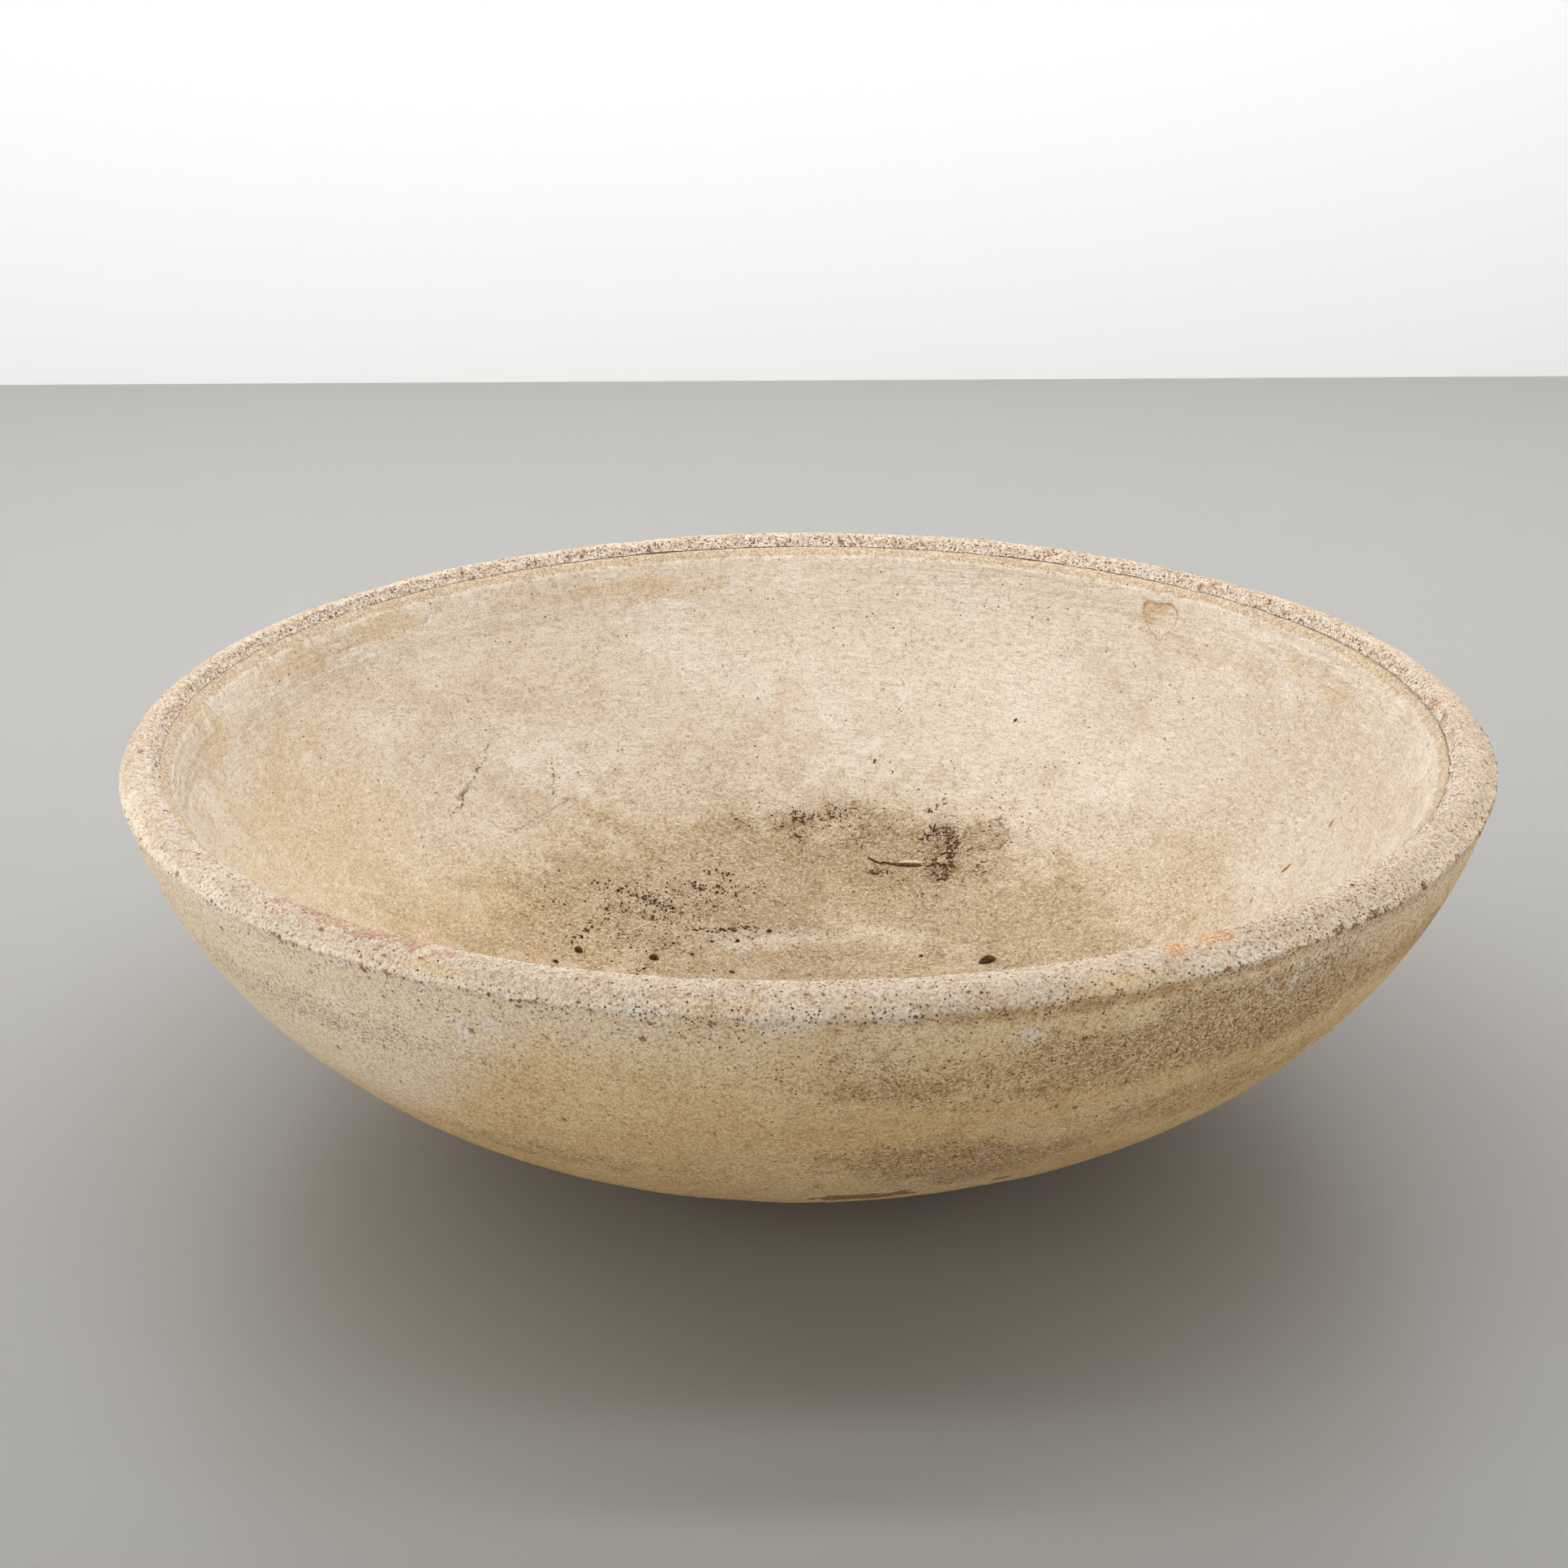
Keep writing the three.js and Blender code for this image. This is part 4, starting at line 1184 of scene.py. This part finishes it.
# strings of crumbs: path, how many, how far they stray, longest and thickest, in millimetres
CRUMB_TRAILS = (
    (((-174, 189), (-158, 187), (-140, 181)), 26, 3.5, 3.2, 1.0),
    (((-138, 178), (-124, 176), (-109, 170)), 30, 2.6, 3.6, 1.1),
    (((-172, 124), (-160, 140), (-145, 160), (-129, 154), (-118, 157)), 44, 3.6, 3.4, 1.0),
    (((-100, 210), (-84, 200), (-70, 205), (-55, 193)), 36, 4.0, 3.4, 1.0),
    (((-84, 226), (-69, 221), (-62, 216)), 16, 2.6, 3.4, 1.1),
    (((-213, 142), (-200, 150), (-188, 156)), 12, 1.6, 3.2, 0.8),
    (((-186, 106), (-178, 112), (-170, 112)), 10, 2.4, 3.6, 1.1),
    (((-134, 66), (-124, 74), (-118, 84)), 14, 2.6, 3.6, 0.9),
    (((-100, 134), (-84, 146), (-72, 142)), 14, 2.4, 3.0, 0.8),
)
# matted tangles of dark slivers, laid out as the strings are
TANGLES = (
    (((96, 256), (103, 261), (111, 263), (117, 258), (120, 248), (119, 240),
      (115, 231)), 74, 1.9, 8.0, 0.75),
    (((97, 233), (104, 226), (111, 222), (117, 225), (113, 214), (105, 212),
      (110, 206)), 70, 2.6, 7.0, 0.75),
    (((51, 223), (58, 227), (66, 226)), 16, 1.6, 7.0, 0.6),
    (((-14, 293), (-8, 286), (0, 284), (9, 287), (17, 285), (25, 290)), 34, 1.8, 7.0, 0.6),
    (((-13, 270), (-8, 267), (-3, 265)), 9, 1.2, 6.0, 0.6),
    (((99, 280), (107, 284), (115, 286)), 16, 1.8, 6.0, 0.6),
    (((38, 253), (48, 257), (58, 261)), 12, 2.4, 5.0, 0.5),
    (((-74, 141), (-68, 146), (-60, 145)), 22, 1.6, 5.0, 0.8),
    (((-58, 146), (-48, 149), (-37, 147)), 24, 1.6, 4.6, 0.8),
    (((-119, 102), (-112, 111), (-103, 117), (-101, 122)), 16, 0.8, 5.0, 0.6),
    (((132, 206), (138, 213), (143, 219)), 16, 2.2, 5.0, 0.6),
    (((86, 188), (91, 193)), 5, 0.6, 5.0, 0.6),
)
# seeds: x, y, heading in degrees, length, radius
SEEDS = (
    (131, 80, 22, 15.0, 3.7), (-179, 95, -35, 7.5, 2.9), (-122, 94, -20, 8.0, 3.0),
    (-32, 143, 5, 4.4, 1.7), (-194, 69, 10, 4.6, 1.5), (-56, 125, 30, 3.6, 1.6),
    (-76, 124, 0, 2.6, 1.2), (-91, 102, 0, 3.4, 1.4), (-60, 75, -20, 5.0, 1.4), (86, 98, 0, 3.6, 1.3),
    (57, 331, 70, 4.5, 0.9), (174, 334, 15, 3.5, 1.0),
)
# orange bits of leaf and husk, laid out as the seeds are
HUSKS = (
    (66, 271, 40, 5.0, 1.3), (388, 49, 60, 6.0, 1.1), (354, 48, 10, 8.0, 1.3), (330, 38, 70, 6.0, 0.8),
    (140, 196, -10, 7.0, 0.8), (112, 290, 30, 4.0, 1.0),
)

# the twig and its two side shoots: x, y, heading in degrees, length, radius, then what else lay takes
TWIG = (
    (49, 244, -36, 18, 0.8, 0.3, 10, 8, 1.0, 0.4),
    (60, 237, -16, 36, 1.4, 0.3, 16, 8, 0.6, 0.4),
    (51, 223, 24, 13, 0.4, 0.6, 8, 6, 1.0, 0.5),
)
# the split pale stalk, laid out as the twig is
SPLIT_STALK = ((74, 233.6, -13, 21, 1.2, 0.1, 10, 8, 1.3, 0.3),)


def lay_all(name, ground, seed, material, rows, *shape):
    """A piece of tubes laid one by one, all with the same shape where it is given."""
    bits = Bits(ground, seed)
    for x, y, heading, *own in rows:
        bits.lay(x, y, math.radians(heading), *own, *shape)
    bits.piece(name, material)


def add_debris(ground):
    """The leaf dirt, seeds and twig that lie in the bowl."""
    bark = debris_material("dry_dirt_and_bark", srgb(56, 36, 20), srgb(128, 90, 54))
    husk = debris_material("dry_husk", srgb(176, 112, 50), srgb(212, 158, 92))
    pith = debris_material("split_pith", srgb(232, 210, 180), srgb(255, 246, 228))

    dirt = Bits(ground, 21)
    for row in CRUMBS:
        dirt.scatter(*row)
    for row in CRUMB_TRAILS:
        dirt.trail(*row)
    dirt.piece("strewn_crumbs", bark)
    clumps = Bits(ground, 22)
    for row in TANGLES:
        clumps.trail(*row)
    clumps.piece("matted_clumps", bark)
    lay_all("seeds", ground, 23, bark, SEEDS, *SEED_SHAPE)
    lay_all("husks", ground, 24, husk, HUSKS, *HUSK_SHAPE)
    lay_all("twig", ground, 25, bark, TWIG)
    lay_all("split_stalk", ground, 26, pith, SPLIT_STALK)


# ---- stage, light and camera

FOCAL_PIXELS = 3600.0
PICTURE_SIDE = 1932.0
CAMERA_AT = (0.0, -1.96265, 0.96870)
CAMERA_PITCH = math.radians(20.871)
CAMERA_YAW = math.radians(-0.476)
CAMERA_ROLL = 0.0075
SENSOR_WIDTH = 36.0
WALL_DISTANCE = 2.23
STAGE_SIDE = 9
BACKDROP_HEIGHT = 4
FLOOR_COLOUR = (0.352, 0.347, 0.333)
WALL_COLOUR = (0.9, 0.9, 0.9)
WORLD_STRENGTH = 0.01


def add_camera():
    level = math.cos(CAMERA_PITCH)
    east, north = math.sin(CAMERA_YAW), math.cos(CAMERA_YAW)
    forward = Vector((east * level, north * level, -math.sin(CAMERA_PITCH)))
    right = Vector((north, -east, 0))
    down = forward.cross(right)
    roll = math.cos(CAMERA_ROLL), math.sin(CAMERA_ROLL)
    turned, down = right * roll[0] + down * roll[1], down * roll[0] - right * roll[1]
    camera = bpy.data.cameras.new("camera")
    camera.sensor_width = SENSOR_WIDTH
    camera.lens = FOCAL_PIXELS / PICTURE_SIDE * SENSOR_WIDTH
    camera.clip_start, camera.clip_end = 0.05, 60
    obj = add_object("camera", camera)
    turn = Matrix((turned, -down, -forward)).transposed()
    obj.matrix_world = Matrix.Translation(CAMERA_AT) @ turn.to_4x4()
    bpy.context.scene.camera = obj


def add_plane(name, corners, material):
    mesh = bpy.data.meshes.new(name)
    mesh.from_pydata(corners, [], [tuple(range(len(corners)))])
    mesh.materials.append(material)
    add_object(name, mesh)


def stage_material(name, rough, shine, colour):
    """A plain finish, clear from behind, so that a view from beyond or below still sees the bowl."""
    m = Nodes(name, rough, shine)
    m.fill(m.shader, {"Base Color": colour})
    back = m.new("NewGeometry").outputs["Backfacing"]
    clear = m.new("BsdfTransparent").outputs[0]
    both = m.new("MixShader", {0: back, 1: m.shader.outputs[0], 2: clear}).outputs[0]
    m.fill(m.tree.nodes["Material Output"], {"Surface": both})
    return m.material


def add_stage():
    s, d, h = STAGE_SIDE, WALL_DISTANCE, BACKDROP_HEIGHT
    floor = stage_material("pale_floor", 0.38, 0.5, FLOOR_COLOUR)
    wall = stage_material("pale_wall", 0.9, 0.15, WALL_COLOUR)
    add_plane("floor", [(-s, -s, 0), (s, -s, 0), (s, d, 0), (-s, d, 0)], floor)
    add_plane("backdrop", [(-s, d, 0), (s, d, 0), (s, d, h), (-s, d, h)], wall)


# soft boxes: name, place, aim, width and height in metres, watts
LIGHTS = (
    ("left", (-2.6, 0.3, 1.9), (0, 0, 0.2), (1.6, 1.6), 22),
    ("right", (2.6, 0.3, 1.9), (0, 0, 0.2), (1.6, 1.6), 15),
    ("left_low", (-3.0, -1.0, 0.9), (0, 0, 0.2), (1.6, 1.4), 33),
    ("right_low", (3.0, -0.8, 0.9), (0, 0, 0.2), (1.6, 1.4), 20),
    ("front_low", (0, -3.0, 0.5), (0, 0, 0.15), (4.0, 0.8), 28),
    ("wall_wash", (0, 0.6, 2.9), (0, 2.23, 1.2), (4.0, 0.8), 76.6),
    ("wall_wash_low", (0, -0.4, 2.9), (0, 2.23, 0.3), (4.0, 0.8), 32),
)


def add_lights():
    world = bpy.data.worlds.new("studio")
    world.use_nodes = True
    sky = world.node_tree.nodes["Background"].inputs
    sky["Color"].default_value, sky["Strength"].default_value = (1.0, 1.0, 1.0, 1.0), WORLD_STRENGTH
    bpy.context.scene.world = world
    for name, at, aim, size, power in LIGHTS:
        lamp = bpy.data.lights.new(name, "AREA")
        lamp.shape = "RECTANGLE"
        lamp.size, lamp.size_y = size
        lamp.energy = power
        obj = add_object(name, lamp)
        obj.location = at
        obj.rotation_euler = (Vector(aim) - Vector(at)).to_track_quat("-Z", "Y").to_euler()
        obj.visible_camera = False
    bpy.context.scene.view_settings.view_transform = "Standard"


# ---- the object

def add_parts():
    shell = build_shell()
    shell.data.materials.append(concrete_material())
    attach(shell, "root")
    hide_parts("bowl_shell")
    lining, ground = build_lining()
    lining.data.materials.append(lining_material())
    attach(lining, "root")
    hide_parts("inner_lining")
    add_debris(ground)


def dress_steel():
    bar = steel_material("rusty_bar", srgb(70, 62, 58), srgb(112, 62, 38))
    wire = steel_material("annealed_wire", srgb(60, 58, 58), srgb(96, 66, 48))
    for name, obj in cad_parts.items():
        if "hoop" in name or "rib" in name:
            if not obj.material_slots:
                obj.data.materials.append(None)
            for slot in obj.material_slots:
                slot.link = "OBJECT"
                slot.material = wire if "tie" in name else bar


add_parts()
dress_steel()
add_stage()
add_lights()
add_camera()
